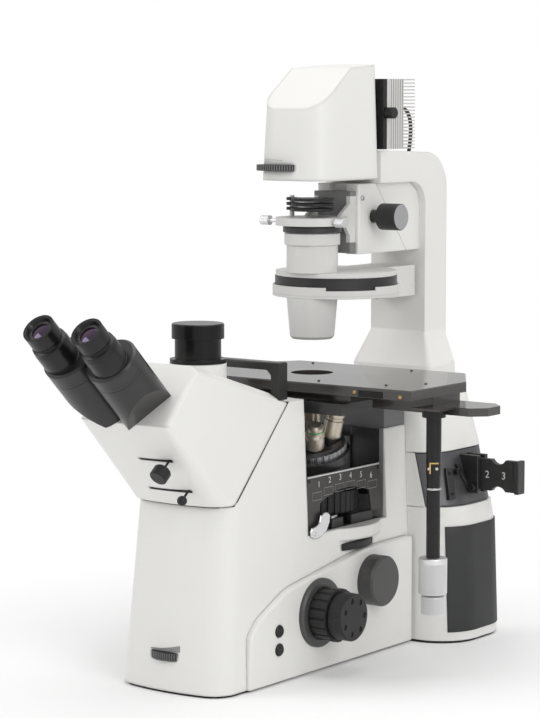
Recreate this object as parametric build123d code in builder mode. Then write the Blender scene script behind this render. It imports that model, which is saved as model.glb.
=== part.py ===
from build123d import *
import os
from math import cos, radians, sin, sqrt

# Inverted microscope. Millimetres, Z up. The origin is the foot of the optical axis on the desk,
# the eyepieces face -Y and the focus knob seen in front views is on +X.

os.makedirs("parts", exist_ok=True)

# Clearances that every piece shares
running = 0.05          # radial play of a shaft in its bore
gap = 0.4               # gap between pieces that move past each other
overrun = 5.0           # how far a cutting tool runs past the face it cuts
shadow_gap = 1.2        # dark joint line between two shells


def save(piece, name):
    """Label one finished piece and write it to its own file."""
    piece.label = name
    export_step(piece, f"parts/{name}.step")


def along_x(x, y, z, side=1):
    """A plane facing +X or -X, for round things whose axis runs across the stand."""
    return Plane(origin=(x, y, z), x_dir=(0, 0, 1), z_dir=(side, 0, 0))


def upright(x, y, z):
    """A level plane, for round things that stand up."""
    return Plane(origin=(x, y, z))


def turned(plane, profile):
    """A turned piece: (radius, station) corners spun about the Z axis of the plane."""
    section = Plane(origin=plane.origin, x_dir=plane.x_dir, z_dir=plane.x_dir.cross(plane.z_dir))
    with BuildPart() as piece:
        with BuildSketch(section):
            with BuildLine():
                Polyline(*profile, close=True)
            make_face()
        revolve(axis=Axis(plane.origin, plane.z_dir))
    return piece.part


def disc(plane, radius, start, end):
    """A plain cylinder on a plane, between two stations along its axis."""
    return turned(plane, [(0, start), (radius, start), (radius, end), (0, end)])


def ring(plane, inner, outer, start, end):
    """A plain ring on a plane, between two stations along its axis."""
    return turned(plane, [(inner, start), (outer, start), (outer, end), (inner, end)])


def block(low, high):
    """A box between two opposite corners."""
    with BuildPart() as piece:
        with BuildSketch(Plane.XY.offset(low[2])):
            with Locations(((low[0] + high[0]) / 2, (low[1] + high[1]) / 2)):
                Rectangle(high[0] - low[0], high[1] - low[1])
        extrude(amount=high[2] - low[2])
    return piece.part


def bowed_plan(z, width, front_y, back_y, bow, corner):
    """Plan outline with a bowed front and rounded front corners, on its own level."""
    with BuildSketch(Plane.XY.offset(z)) as plan:
        with BuildLine():
            ThreePointArc((-width, front_y + bow), (0, front_y), (width, front_y + bow))
            Polyline((width, front_y + bow), (width, back_y), (-width, back_y), (-width, front_y + bow))
        make_face()
        fillet(plan.vertices().filter_by(lambda v: v.Y < front_y + 2 * bow), corner)
    return plan.sketch


def rounded_plan(z, width, front_y, back_y, corner):
    """Rounded rectangle on its own level."""
    with BuildSketch(Plane.XY.offset(z)) as plan:
        with Locations((0, (front_y + back_y) / 2)):
            RectangleRounded(2 * width, back_y - front_y, corner)
    return plan.sketch


def side_profile(points, half, rounds=()):
    """A slab with the given outline in depth and height; rounds lists corners and their radii."""
    with BuildPart() as piece:
        with BuildSketch(Plane.YZ) as outline:
            with BuildLine():
                Polyline(*points, close=True)
            make_face()
            for corner, radius in rounds:
                fillet(outline.vertices().sort_by_distance((corner[0], corner[1], 0))[0], radius)
        extrude(amount=half, both=True)
    return piece.part


# Base and main housing
pad_thickness = 3.0
pad_inset = 3.0
half_width_at_desk = 78.0
side_lean = 9.0 / 222.0         # how much the side walls lean in, per unit of height
front_at_desk = -294.0
front_lean = 22.0 / 222.0       # how much the front leans back, per unit of height
front_bow = 11.0
front_corner = 30.0
housing_back = 107.0
seam_z = 218.0
seam_bend = -247.0              # where the joint line turns up
seam_round = 16.0
wall_top = 328.0                # top of the wall between head and window
wall_back = -107.0              # front edge of the window
window_back = 60.0
window_floor = 164.0
rear_wall_top = 275.0
seam_run = wall_top - seam_z


def half_width(z):
    return half_width_at_desk - side_lean * z


def front(z):
    return front_at_desk + front_lean * z


# Raised lower side panels, outline given as depth and height
panel_face = 82.0
panel_seat = 68.0
panel_edge_round = 3.0
panel_top = 135.6
panel_front = -237.0
panel_back = 102.0
panel_toe = (-234.5, 64.0)
panel_shoulder = (-218.0, 81.0)
panel_hip = (-160.0, 109.0)
panel_knee = (2.0, 135.0)
panel_toe_r, panel_shoulder_r, panel_hip_r, panel_knee_r = 14.0, 40.0, 120.0, 200.0


def panel_outline(side, grow):
    """Outline of one side panel, grown all round by a clearance."""
    with BuildSketch(Plane.YZ.offset(side * panel_seat)) as outline:
        with BuildLine():
            Polyline((panel_front, pad_thickness), panel_toe, panel_shoulder, panel_hip, panel_knee,
                     (panel_back, panel_top), (panel_back, pad_thickness), close=True)
        make_face()
        for corner, radius in ((panel_toe, panel_toe_r), (panel_shoulder, panel_shoulder_r),
                               (panel_hip, panel_hip_r), (panel_knee, panel_knee_r)):
            fillet(outline.vertices().sort_by_distance((corner[0], corner[1], 0))[0], radius)
        if grow > 0:
            offset(amount=grow, kind=Kind.INTERSECTION)
    return outline.sketch


# Things that sit in the main housing
focus_y, focus_z = -99.0, 72.0
coarse_shaft_r = 9.0
fine_shaft_r = 4.0
collar_r = 41.5
collar_length = 6.0
coarse_r = 32.0
coarse_length = 24.0
fine_r = 28.5
fine_length = 20.0
port_y, port_z = 12.0, 94.5
port_cap_r = 31.2
port_cap_length = 21.0
port_bore_r = 21.0
port_bore_depth = 40.0
button_r = 7.2
button_y = -180.0
button_zs = (41.0, 63.0)
button_length = 14.0
button_stand = 2.6
button_travel = 2.0
button_pocket = button_length - button_stand + button_travel + gap
dimmer_x, dimmer_y, dimmer_z = -2.0, -268.0, 38.5
dimmer_r = 28.0
dimmer_post_r = 6.0
dimmer_thick = 9.0
magnifier_y, magnifier_z = -6.0, 136.2
magnifier_r = 79.0
magnifier_post_r = 14.0
magnifier_thick = 8.0
bulge_r = 85.0
bulge_height = 15.0

# Revolving nosepiece: its axis leans so that the objective in use stands upright
nose_tilt = 15.0
nose_turn = -70.0               # the side it leans to, counted from +X
nose_circle_r = 31.0
nose_seat_z = 274.0
nose_seat_rise = 9.0
nose_lean = Vector(cos(radians(nose_turn)), sin(radians(nose_turn)), 0)
nose_axis = nose_lean * sin(radians(nose_tilt)) + Vector(0, 0, cos(radians(nose_tilt)))
nose_out = nose_lean * -cos(radians(nose_tilt)) + Vector(0, 0, sin(radians(nose_tilt)))
nose_foot = Vector(0, 0, nose_seat_z) - nose_out * nose_circle_r - nose_axis * nose_seat_rise
nose_plane = Plane(origin=nose_foot, x_dir=nose_out, z_dir=nose_axis)

# Focusing carrier under the nosepiece, with a tongue in a slot of the rear wall
carrier_low, carrier_high = 210.0, 220.0
carrier_half = 38.0
carrier_front_y = -34.0
tongue_half = 16.0
tongue_depth = 14.0
tongue_top = 262.0
focus_down, focus_up = 3.0, 7.0

# Foot of the rear tower, levels given as (height, half width, rear face, corner radius)
tower_front = 107.0
tower_levels = [(3.0, 141.0, 250.0, 55.0), (145.0, 135.5, 250.0, 55.0), (172.0, 129.5, 250.0, 53.0)]

pad_plan = bowed_plan(0, half_width_at_desk - pad_inset, front_at_desk + pad_inset, housing_back,
                      front_bow, front_corner)
with BuildPart() as base_pad:
    extrude(pad_plan, amount=pad_thickness)
    extrude(rounded_plan(0, tower_levels[0][1] - pad_inset, tower_front, tower_levels[0][2] - pad_inset,
                         tower_levels[0][3] - pad_inset), amount=pad_thickness)
save(base_pad.part, "base_pad")

low_plan = bowed_plan(pad_thickness, half_width(pad_thickness), front(pad_thickness), housing_back,
                      front_bow, front_corner)
high_plan = bowed_plan(wall_top, half_width(wall_top), front(wall_top), housing_back, front_bow,
                       front_corner)
housing_profile = side_profile([(front_at_desk - overrun, pad_thickness), (front_at_desk - overrun, seam_z),
                                (seam_bend, seam_z), (seam_bend + seam_run, wall_top),
                                (wall_back, wall_top), (wall_back, window_floor),
                                (window_back, window_floor), (window_back, rear_wall_top),
                                (housing_back, rear_wall_top), (housing_back, pad_thickness)],
                               half_width_at_desk + overrun, [((seam_bend, seam_z), seam_round)])


def side_bore(side, y, z, radius, depth):
    """Cutter for a round hole that enters one side panel."""
    return disc(along_x(side * panel_face, y, z, side), radius, -depth, overrun)


# The head stands on a narrower rib, which leaves a dark joint line all round
seam_shift = shadow_gap * sqrt(2)
head_bottom = seam_z + shadow_gap
head_back = seam_bend + seam_run - seam_shift
rib_half, rib_front, rib_share, rib_foot = 58.0, -262.0, 0.93, 12.0
rib_end = (seam_bend - seam_shift + rib_share * seam_run, head_bottom + rib_share * (wall_top - head_bottom))
seam_rib = side_profile([(rib_front, seam_z - overrun), (rib_front, head_bottom),
                         (seam_bend - seam_shift, head_bottom), rib_end,
                         (rib_end[0] + rib_foot, rib_end[1] - rib_foot),
                         (seam_bend + rib_foot, seam_z - overrun)], rib_half)
with BuildPart() as main_housing:
    loft([low_plan.face(), high_plan.face()])
    add(housing_profile, mode=Mode.INTERSECT)
    add(seam_rib)
    add(disc(upright(0, 0, 0), bulge_r, window_floor - bulge_height, window_floor))
    for side in (1, -1):
        extrude(panel_outline(side, gap), amount=side * (half_width_at_desk - panel_seat + overrun),
                mode=Mode.SUBTRACT)
        add(side_bore(side, port_y, port_z, port_bore_r, port_bore_depth), mode=Mode.SUBTRACT)
    for button_z in button_zs:
        add(side_bore(1, button_y, button_z, button_r + gap, button_pocket), mode=Mode.SUBTRACT)
    add(disc(along_x(0, focus_y, focus_z), coarse_shaft_r + running, -panel_face, panel_face),
        mode=Mode.SUBTRACT)
    add(ring(upright(0, magnifier_y, magnifier_z), magnifier_post_r, magnifier_r + gap, -gap,
             magnifier_thick + gap), mode=Mode.SUBTRACT)
    add(ring(upright(dimmer_x, dimmer_y, dimmer_z), dimmer_post_r, dimmer_r + gap, -gap,
             dimmer_thick + gap), mode=Mode.SUBTRACT)
    add(block((-tongue_half - gap, window_back - overrun, carrier_low - focus_down - gap),
              (tongue_half + gap, window_back + tongue_depth + gap, rear_wall_top + overrun)),
        mode=Mode.SUBTRACT)
save(main_housing.part, "main_housing")

with BuildPart() as side_panels:
    for side in (1, -1):
        extrude(panel_outline(side, 0), amount=side * (panel_face - panel_seat))
        face = side_panels.faces().sort_by(Axis.X)[-1 if side > 0 else 0]
        fillet(face.edges().filter_by(lambda e: e.center().Z > 2 * pad_thickness
                                      and e.center().Y < panel_back - gap), panel_edge_round)
    for side in (1, -1):
        add(side_bore(side, port_y, port_z, port_bore_r, port_bore_depth), mode=Mode.SUBTRACT)
    for button_z in button_zs:
        add(side_bore(1, button_y, button_z, button_r + gap, button_pocket), mode=Mode.SUBTRACT)
    add(disc(along_x(0, focus_y, focus_z), coarse_shaft_r + running, -2 * panel_face, 2 * panel_face),
        mode=Mode.SUBTRACT)
save(side_panels.part, "side_panels")

# Focus collars and port caps on both sides
collar_inner = coarse_shaft_r + gap
cap_edge = 2.5
with BuildPart() as side_fittings:
    for side in (1, -1):
        add(turned(along_x(side * panel_face, focus_y, focus_z, side),
                   [(collar_inner, 0), (collar_r, 0), (collar_r, collar_length - cap_edge),
                    (collar_r - cap_edge, collar_length), (collar_inner, collar_length)]))
        add(turned(along_x(side * panel_face, port_y, port_z, side),
                   [(0, -port_cap_length), (port_bore_r - running, -port_cap_length),
                    (port_bore_r - running, 0), (port_cap_r, 0), (port_cap_r, port_cap_length - cap_edge),
                    (port_cap_r - cap_edge, port_cap_length), (0, port_cap_length)]))
save(side_fittings.part, "side_fittings")

coarse_start = panel_face + collar_length + gap
coarse_end = coarse_start + coarse_length
rib_count = 18
rib_r = 1.6
with BuildPart() as coarse_knobs:
    add(disc(along_x(0, focus_y, focus_z), coarse_shaft_r, -coarse_end, coarse_end))
    for side in (1, -1):
        with BuildSketch(Plane.YZ.offset(side * coarse_start)):
            with Locations((focus_y, focus_z)):
                Circle(coarse_r)
                with PolarLocations(coarse_r, rib_count):
                    Circle(rib_r, mode=Mode.SUBTRACT)
        extrude(amount=side * coarse_length)
    add(disc(along_x(0, focus_y, focus_z), fine_shaft_r + running, -coarse_end - overrun,
             coarse_end + overrun), mode=Mode.SUBTRACT)
save(coarse_knobs.part, "coarse_knobs")

fine_start = coarse_end + gap
fine_end = fine_start + fine_length
fine_edge = 1.2
dimple_count = 7
dimple_r = 3.4
dimple_depth = 1.4
dimple_circle_r = 20.5
with BuildPart() as fine_knobs:
    add(disc(along_x(0, focus_y, focus_z), fine_shaft_r, -fine_start, fine_start))
    for side in (1, -1):
        add(turned(along_x(0, focus_y, focus_z, side),
                   [(0, fine_start), (fine_r - fine_edge, fine_start), (fine_r, fine_start + fine_edge),
                    (fine_r, fine_end - fine_edge), (fine_r - fine_edge, fine_end), (0, fine_end)]))
        with BuildSketch(Plane.YZ.offset(side * fine_end)):
            with Locations((focus_y, focus_z)):
                with PolarLocations(dimple_circle_r, dimple_count):
                    Circle(dimple_r)
        extrude(amount=-side * dimple_depth, mode=Mode.SUBTRACT)
save(fine_knobs.part, "fine_knobs")

for name, button_z in zip(("push_button_lower", "push_button_upper"), button_zs):
    push_button = turned(along_x(panel_face + button_stand - button_length, button_y, button_z),
                         [(0, 0), (button_r, 0), (button_r, button_length - shadow_gap),
                          (button_r - shadow_gap, button_length), (0, button_length)])
    save(push_button, name)

brightness_wheel = ring(upright(dimmer_x, dimmer_y, dimmer_z), dimmer_post_r + running, dimmer_r, 0,
                        dimmer_thick)
save(brightness_wheel, "brightness_wheel")
magnification_wheel = ring(upright(0, magnifier_y, magnifier_z), magnifier_post_r + running, magnifier_r,
                           0, magnifier_thick)
save(magnification_wheel, "magnification_wheel")

# Observation head
nose_bow = 3.0
nose_corner = 8.0
nose_y, nose_z = -367.0, 322.0
head_top_y, head_top_z = -304.0, 384.0
head_shelf_y, head_shelf_z = -157.0, 331.0
head_slope_end = 339.0
head_shoulder = half_width(head_top_z)
crown_width, crown_depth = 12.0, 6.0
photo_y = -227.4
photo_boss_r = 33.2
photo_boss_top = 378.0
slot_height = 3.6
slot_depth = 24.0
head_low_y = front(head_bottom) - 7.0
light_slot_left, light_slot_right, light_slot_z = -6.0, 42.0, 277.0
port_slot_left, port_slot_right, port_slot_z = -19.0, 42.5, 238.0

head_low = bowed_plan(head_bottom, half_width(head_bottom), head_low_y, wall_back, front_bow, front_corner)
head_mid = bowed_plan(nose_z, half_width(nose_z), nose_y, wall_back, nose_bow, nose_corner)
head_high = bowed_plan(head_top_z, half_width(head_top_z), head_top_y - overrun, wall_back, nose_bow,
                       nose_corner)
head_profile = side_profile([(nose_y - overrun, head_bottom), (seam_bend - seam_shift, head_bottom),
                             (head_back, wall_top), (head_back, head_shelf_z),
                             (head_shelf_y, head_shelf_z), (head_shelf_y, head_slope_end),
                             (head_top_y, head_top_z), (nose_y, nose_z),
                             (nose_y - overrun, nose_z)], half_width_at_desk + overrun,
                            [((seam_bend - seam_shift, head_bottom), seam_round - shadow_gap)])


def nose_face(x, z):
    """Plane on the overhanging front of the head, facing down and forward."""
    rise = (z - head_bottom) / (nose_z - head_bottom)
    outward = Vector(0, head_bottom - nose_z, nose_y - head_low_y)
    return Plane(origin=(x, head_low_y + (nose_y - head_low_y) * rise, z), x_dir=(1, 0, 0), z_dir=outward)


head_slope = Plane(origin=(0, head_top_y, head_top_z), x_dir=(1, 0, 0),
                   z_dir=(0, head_shelf_y - head_top_y, head_slope_end - head_top_z))
with BuildPart() as head_housing:
    loft([head_low.face(), head_mid.face()])
    loft([head_mid.face(), head_high.face()])
    add(head_profile, mode=Mode.INTERSECT)
    for side in (1, -1):
        with BuildSketch(head_slope):
            with BuildLine():
                Polyline((side * (head_shoulder - crown_width), -overrun),
                         (side * (head_shoulder - crown_width), 0), (side * head_shoulder, crown_depth),
                         (side * (head_shoulder + overrun), crown_depth + overrun),
                         (side * (head_shoulder + overrun), -overrun), close=True)
            make_face()
        extrude(amount=head_top_z, both=True, mode=Mode.SUBTRACT)
    add(disc(upright(0, photo_y, 0), photo_boss_r, nose_z, photo_boss_top))
    for left, right, slot_z in ((light_slot_left, light_slot_right, light_slot_z),
                                (port_slot_left, port_slot_right, port_slot_z)):
        with BuildSketch(nose_face((left + right) / 2, slot_z).offset(-slot_depth)):
            Rectangle(right - left, slot_height)
        extrude(amount=2 * slot_depth, mode=Mode.SUBTRACT)
save(head_housing.part, "head_housing")

# Light path slider and port lever in the two slots of the head, profiles as (radius, station)
light_x = 37.0
light_knob_profile = [(0, -22.0), (1.4, -22.0), (1.4, 9.0), (9.0, 12.0), (10.5, 14.0), (10.5, 25.0),
                      (9.5, 26.0), (0, 26.0)]
foot_half_width, foot_high = 4.0, 5.0


def slot_foot(plane):
    """Sliding foot that fills the height of a head slot."""
    with BuildPart() as foot:
        with BuildSketch(plane.offset(gap - slot_depth)):
            Rectangle(2 * foot_half_width, slot_height - 2 * running)
        extrude(amount=foot_high)
    return foot.part


with BuildPart() as light_path_knob:
    add(slot_foot(nose_face(light_x, light_slot_z)))
    add(turned(nose_face(light_x, light_slot_z), light_knob_profile))
save(light_path_knob.part, "light_path_knob")
ball_x = 37.5
ball_r = 5.8
ball_stem_r = 1.4
ball_in, ball_out = -22.0, 13.0
ball_plane = nose_face(ball_x, port_slot_z)
with BuildPart() as port_lever:
    add(slot_foot(ball_plane))
    add(disc(ball_plane, ball_stem_r, ball_in, ball_out))
    with Locations(ball_plane.offset(ball_out).origin):
        Sphere(ball_r)
save(port_lever.part, "port_lever")

# Photo tube
flange_r, flange_thick = 32.8, 5.0
photo_tube_r = 27.0
photo_bore_r = 19.0
photo_cap_r, photo_cap_length, photo_cap_depth = 30.6, 46.0, 17.5
photo_cap_wall = 3.0
photo_cap_top = photo_boss_top + photo_cap_length
photo_cap_skirt = photo_cap_top - photo_cap_depth
photo_cap_inner = photo_cap_top - photo_cap_wall
photo_tube = turned(upright(0, photo_y, 0),
                    [(photo_bore_r, photo_boss_top), (flange_r, photo_boss_top),
                     (flange_r, photo_boss_top + flange_thick), (photo_tube_r, photo_boss_top + flange_thick),
                     (photo_tube_r, photo_cap_inner), (photo_bore_r, photo_cap_inner)])
save(photo_tube, "photo_tube")
photo_cap = turned(upright(0, photo_y, 0),
                   [(0, photo_cap_inner), (photo_tube_r + running, photo_cap_inner),
                    (photo_tube_r + running, photo_cap_skirt), (photo_cap_r, photo_cap_skirt),
                    (photo_cap_r, photo_cap_top - shadow_gap), (photo_cap_r - shadow_gap, photo_cap_top),
                    (0, photo_cap_top)])
save(photo_cap, "photo_cap")

# Binocular: fixed tube bases, swivelling tubes, eyepieces
view_angle = 44.0
view_x = 31.0
view_y, view_z = -353.2, 333.8
base_tube_r = 30.5
base_tube_top = 75.0
base_tube_foot = -40.0
swivel_bore_r = 14.0
swivel_bore_depth = 18.0
swivel_length = 20.0
swivel_edge = 2.4
eye_shift_x, eye_shift_down = 3.5, 5.6
eye_tube_r = 20.0
eye_tube_top = 99.0
eye_socket_r = 13.5
eye_socket_depth = 20.0
eyepiece_rim = [(21.5, 99.4), (21.5, 120.0), (20.6, 126.5), (17.6, 128.0), (17.6, 131.0), (18.8, 133.0),
                (18.8, 150.0), (15.6, 150.0), (12.6, 144.0), (0, 144.0)]
base_cut_turn = 60.0            # the flat cut faces outward and down
base_cut_rise = 50.0
bridge_half, bridge_low, bridge_high = 14.0, -6.0, 24.0
bridge_top = 68.0
view_up = Vector(0, -cos(radians(view_angle)), sin(radians(view_angle)))
view_down = Vector(0, -sin(radians(view_angle)), -cos(radians(view_angle)))
head_face_dir = Vector(0, nose_z - head_top_z, head_top_y - nose_y)
head_face = Plane(origin=(0, nose_y, nose_z), x_dir=(1, 0, 0), z_dir=head_face_dir)


def view_plane(side):
    """Plane across one swivel axis, with stations counted from the head."""
    return Plane(origin=(side * view_x, view_y, view_z), x_dir=(1, 0, 0), z_dir=view_up)


def eye_plane(side):
    """Plane across one eyepiece axis, which lies beside its swivel axis."""
    shift = Vector(side * eye_shift_x, 0, 0) + view_down * eye_shift_down
    return Plane(origin=view_plane(side).origin + shift, x_dir=(1, 0, 0), z_dir=view_up)


def base_cut(side):
    """Wedge that takes the lower outer side off one tube base, from its middle at the head."""
    across = Vector(side * sin(radians(base_cut_turn)), 0, 0) + view_down * cos(radians(base_cut_turn))
    foot = Plane(origin=(side * view_x, view_y, view_z), x_dir=across, z_dir=across.cross(view_up))
    with BuildPart() as wedge:
        with BuildSketch(foot):
            with BuildLine():
                Polyline((0, base_tube_foot), (0, 0), (base_tube_r, base_cut_rise),
                         (2 * base_tube_r, base_cut_rise), (2 * base_tube_r, base_tube_foot), close=True)
            make_face()
        extrude(amount=2 * base_tube_r, both=True)
    return wedge.part


with BuildPart() as tube_bridge:
    with BuildSketch(Plane(origin=(0, view_y, view_z), x_dir=(1, 0, 0), z_dir=view_up).offset(base_tube_foot)):
        with Locations((0, (bridge_low + bridge_high) / 2)):
            Rectangle(2 * bridge_half, bridge_high - bridge_low)
    extrude(amount=bridge_top - base_tube_foot)

with BuildPart() as eyepiece_bases:
    for side in (1, -1):
        add(turned(view_plane(side), [(0, base_tube_foot), (base_tube_r, base_tube_foot),
                                      (base_tube_r, base_tube_top), (swivel_bore_r, base_tube_top),
                                      (swivel_bore_r, base_tube_top - swivel_bore_depth),
                                      (0, base_tube_top - swivel_bore_depth)]))
    add(tube_bridge.part)
    for side in (1, -1):
        add(base_cut(side), mode=Mode.SUBTRACT)
    with BuildSketch(head_face):
        Rectangle(8 * base_tube_r, 8 * base_tube_r)
    extrude(amount=-4 * base_tube_r, mode=Mode.SUBTRACT)
save(eyepiece_bases.part, "eyepiece_bases")

swivel_start = base_tube_top + gap
swivel_end = swivel_start + swivel_length
swivel_pin = base_tube_top - swivel_bore_depth + gap
socket_floor = eye_tube_top - eye_socket_depth
for name, side in (("right_eyepiece_tube", 1), ("left_eyepiece_tube", -1)):
    with BuildPart() as tube:
        add(turned(view_plane(side), [(0, swivel_pin), (swivel_bore_r - running, swivel_pin),
                                      (swivel_bore_r - running, swivel_start), (base_tube_r, swivel_start),
                                      (base_tube_r, swivel_end - swivel_edge),
                                      (base_tube_r - swivel_edge, swivel_end), (0, swivel_end)]))
        add(disc(eye_plane(side), eye_tube_r, swivel_start + swivel_edge, eye_tube_top))
        add(disc(eye_plane(side), eye_socket_r, socket_floor, eye_tube_top + overrun), mode=Mode.SUBTRACT)
    save(tube.part, name)
for name, side in (("right_eyepiece", 1), ("left_eyepiece", -1)):
    spigot_r = eye_socket_r - running
    spigot = [(0, socket_floor + gap), (spigot_r, socket_floor + gap), (spigot_r, eyepiece_rim[0][1])]
    save(turned(eye_plane(side), spigot + eyepiece_rim), name)

# Guard bracket in front of the stage
guard_half, guard_inner = 64.0, 52.5
guard_front, guard_back = -156.5, -139.5
guard_rise, guard_thick = 44.0, 9.0
guard_top = head_shelf_z + guard_rise
guard_bar = guard_top - guard_thick
guard_corner = 6.0
with BuildPart() as stage_guard:
    with BuildSketch(Plane.XZ.offset(-guard_back)):
        with BuildLine():
            Polyline((-guard_half, head_shelf_z), (-guard_half, guard_top), (guard_half, guard_top),
                     (guard_half, head_shelf_z), (guard_inner, head_shelf_z),
                     (guard_inner, guard_bar - guard_corner), (guard_inner - guard_corner, guard_bar),
                     (guard_corner - guard_inner, guard_bar), (-guard_inner, guard_bar - guard_corner),
                     (-guard_inner, head_shelf_z), close=True)
        make_face()
    extrude(amount=guard_back - guard_front)
    chamfer(stage_guard.faces().sort_by(Axis.Z)[-1].edges(), shadow_gap)
save(stage_guard.part, "stage_guard")

# Rear tower
ring_levels = [(173.2, 126.5, 249.0, 52.0), (239.0, 108.5, 250.0, 47.0)]
upper_levels = [(240.2, 108.0, 252.0, 47.0), (326.0, 75.5, 256.0, 40.0)]
neck_y, neck_low_r, neck_high_r = 178.0, 60.0, 55.0


def tower_shell(levels, front_y):
    """Lofted shell through rounded plans at the listed levels."""
    plans = [rounded_plan(z, width, front_y, back_y, corner) for z, width, back_y, corner in levels]
    with BuildPart() as shell:
        for lower, upper in zip(plans, plans[1:]):
            loft([lower.face(), upper.face()])
    return shell.part


tower_lower = tower_shell(tower_levels, tower_front)
save(tower_lower, "tower_lower")

slide_y, slide_low, slide_high = 180.0, 190.0, 230.0
slide_thick = 8.0
slide_in, slide_out = 40.0, 188.0
slide_travel = 38.0
notch_r, notch_back, notch_out = 12.0, 26.0, 6.0
slide_front, slide_back = slide_y - slide_thick / 2, slide_y + slide_thick / 2
with BuildPart() as illuminator_ring:
    add(tower_shell(ring_levels, tower_front + shadow_gap))
    add(disc(upright(0, neck_y, 0), neck_low_r, tower_levels[-1][0], ring_levels[0][0]))
    add(disc(upright(0, neck_y, 0), neck_high_r, ring_levels[-1][0], upper_levels[0][0]))
    add(block((slide_in - slide_travel - gap, slide_front - gap, slide_low - gap),
              (slide_out, slide_back + gap, slide_high + gap)), mode=Mode.SUBTRACT)
save(illuminator_ring.part, "illuminator_ring")

with BuildPart() as fluorescence_slider:
    add(block((slide_in, slide_front, slide_low), (slide_out, slide_back, slide_high)))
    for notch_z in (slide_low - notch_out, slide_high + notch_out):
        add(disc(Plane(origin=(slide_out - notch_back, slide_y, notch_z), x_dir=(1, 0, 0), z_dir=(0, 1, 0)),
                 notch_r, -slide_thick, slide_thick), mode=Mode.SUBTRACT)
save(fluorescence_slider.part, "fluorescence_slider")

# Arm hinge ears at the top of the tower
hinge_y, hinge_z = 226.0, 340.0
hinge_r = 5.0
ear_r = 11.0
ear_in, ear_out = 30.0, 46.0
with BuildPart() as tower_upper:
    add(tower_shell(upper_levels, tower_front))
    for side in (1, -1):
        low_x, high_x = sorted((side * ear_in, side * ear_out))
        add(disc(along_x(0, hinge_y, hinge_z), ear_r, low_x, high_x))
        add(block((low_x, hinge_y - ear_r, upper_levels[-1][0] - overrun), (high_x, hinge_y + ear_r, hinge_z)))
    add(disc(along_x(0, hinge_y, hinge_z), hinge_r + running, -2 * ear_out, 2 * ear_out), mode=Mode.SUBTRACT)
save(tower_upper.part, "tower_upper")

# Arm: pillar, crosspiece and foot in one casting
arm_half = 41.5
arm_front, arm_rear = 190.0, 240.0
arm_nose = 88.0
arm_underside = 577.0
arm_top, arm_top_rear = 618.0, 612.0
arm_inner_round = 30.0
arm_outer_round = 48.0
foot_half = 62.0
foot_front, foot_rear = 174.0, 238.0
foot_low, foot_lip, foot_top = 326.4, 341.0, 386.0
foot_corner, neck_corner = 10.0, 2.0
lamp_hole_y, lamp_hole_r, lamp_hole_floor = 212.0, 4.0, 590.0
with BuildPart() as arm_heel:
    add(side_profile([(hinge_y, foot_low - overrun), (foot_rear + overrun, foot_low - overrun),
                      (foot_rear + overrun, hinge_z), (hinge_y, hinge_z)], foot_half + overrun))
    add(disc(along_x(0, hinge_y, hinge_z), hinge_z - foot_low - gap, -2 * foot_half, 2 * foot_half),
        mode=Mode.SUBTRACT)
with BuildPart() as illumination_arm:
    with BuildSketch(Plane.YZ) as arm_side:
        with BuildLine():
            Polyline((arm_nose, arm_underside), (arm_front, arm_underside), (arm_front, foot_lip),
                     (arm_rear, foot_lip), (arm_rear, arm_top_rear), (arm_nose, arm_top), close=True)
        make_face()
        inner = arm_side.vertices().sort_by_distance((arm_front, arm_underside))[0]
        fillet(inner, arm_inner_round)
        outer = arm_side.vertices().sort_by_distance((arm_rear, arm_top_rear))[0]
        fillet(outer, arm_outer_round)
    extrude(amount=arm_half, both=True)
    foot_base = rounded_plan(foot_lip, foot_half, foot_front, foot_rear, foot_corner)
    foot_neck = rounded_plan(foot_top, arm_half - gap, arm_front + gap, foot_rear, neck_corner)
    loft([foot_base.face(), foot_neck.face()])
    extrude(rounded_plan(foot_low, foot_half, foot_front, foot_rear, foot_corner), amount=foot_lip - foot_low)
    for side in (1, -1):
        low_x, high_x = sorted((side * (ear_in - gap), side * (ear_out + gap)))
        add(block((low_x, hinge_y - ear_r - gap, foot_low - overrun),
                  (high_x, arm_rear + overrun, hinge_z + ear_r + gap)), mode=Mode.SUBTRACT)
    add(arm_heel.part, mode=Mode.SUBTRACT)
    add(disc(along_x(0, hinge_y, hinge_z), hinge_r, -foot_half, foot_half))
    add(disc(upright(0, lamp_hole_y, 0), lamp_hole_r, lamp_hole_floor, arm_top + overrun), mode=Mode.SUBTRACT)
save(illumination_arm.part, "illumination_arm")

# Lamp hood and field diaphragm dial
hood_half, hood_front, hood_back = 49.5, -53.0, 88.0
hood_low, hood_high = 583.0, 725.0
hood_corner = 27.0
hood_top_half, hood_top_front = 44.0, -47.0
dial_x, dial_y, dial_z = -18.0, -30.0, 595.0
dial_r, dial_post_r, dial_thick = 36.0, 8.0, 7.0
hood_side = [(-60.0, 583.0), (-60.0, 661.8), (18.0, 719.0), (95.0, 724.5), (95.0, 583.0)]
hood_plan = rounded_plan(hood_low, hood_half, hood_front, hood_back, hood_corner)
hood_roof = rounded_plan(hood_high, hood_top_half, hood_top_front, hood_back, hood_corner)
with BuildPart() as lamp_hood:
    loft([hood_plan.face(), hood_roof.face()])
    add(side_profile(hood_side, 2 * hood_half), mode=Mode.INTERSECT)
    add(ring(upright(dial_x, dial_y, dial_z), dial_post_r, dial_r + gap, -gap, dial_thick + gap),
        mode=Mode.SUBTRACT)
save(lamp_hood.part, "lamp_hood")
field_dial = ring(upright(dial_x, dial_y, dial_z), dial_post_r + running, dial_r, 0, dial_thick)
save(field_dial, "field_dial")

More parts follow.
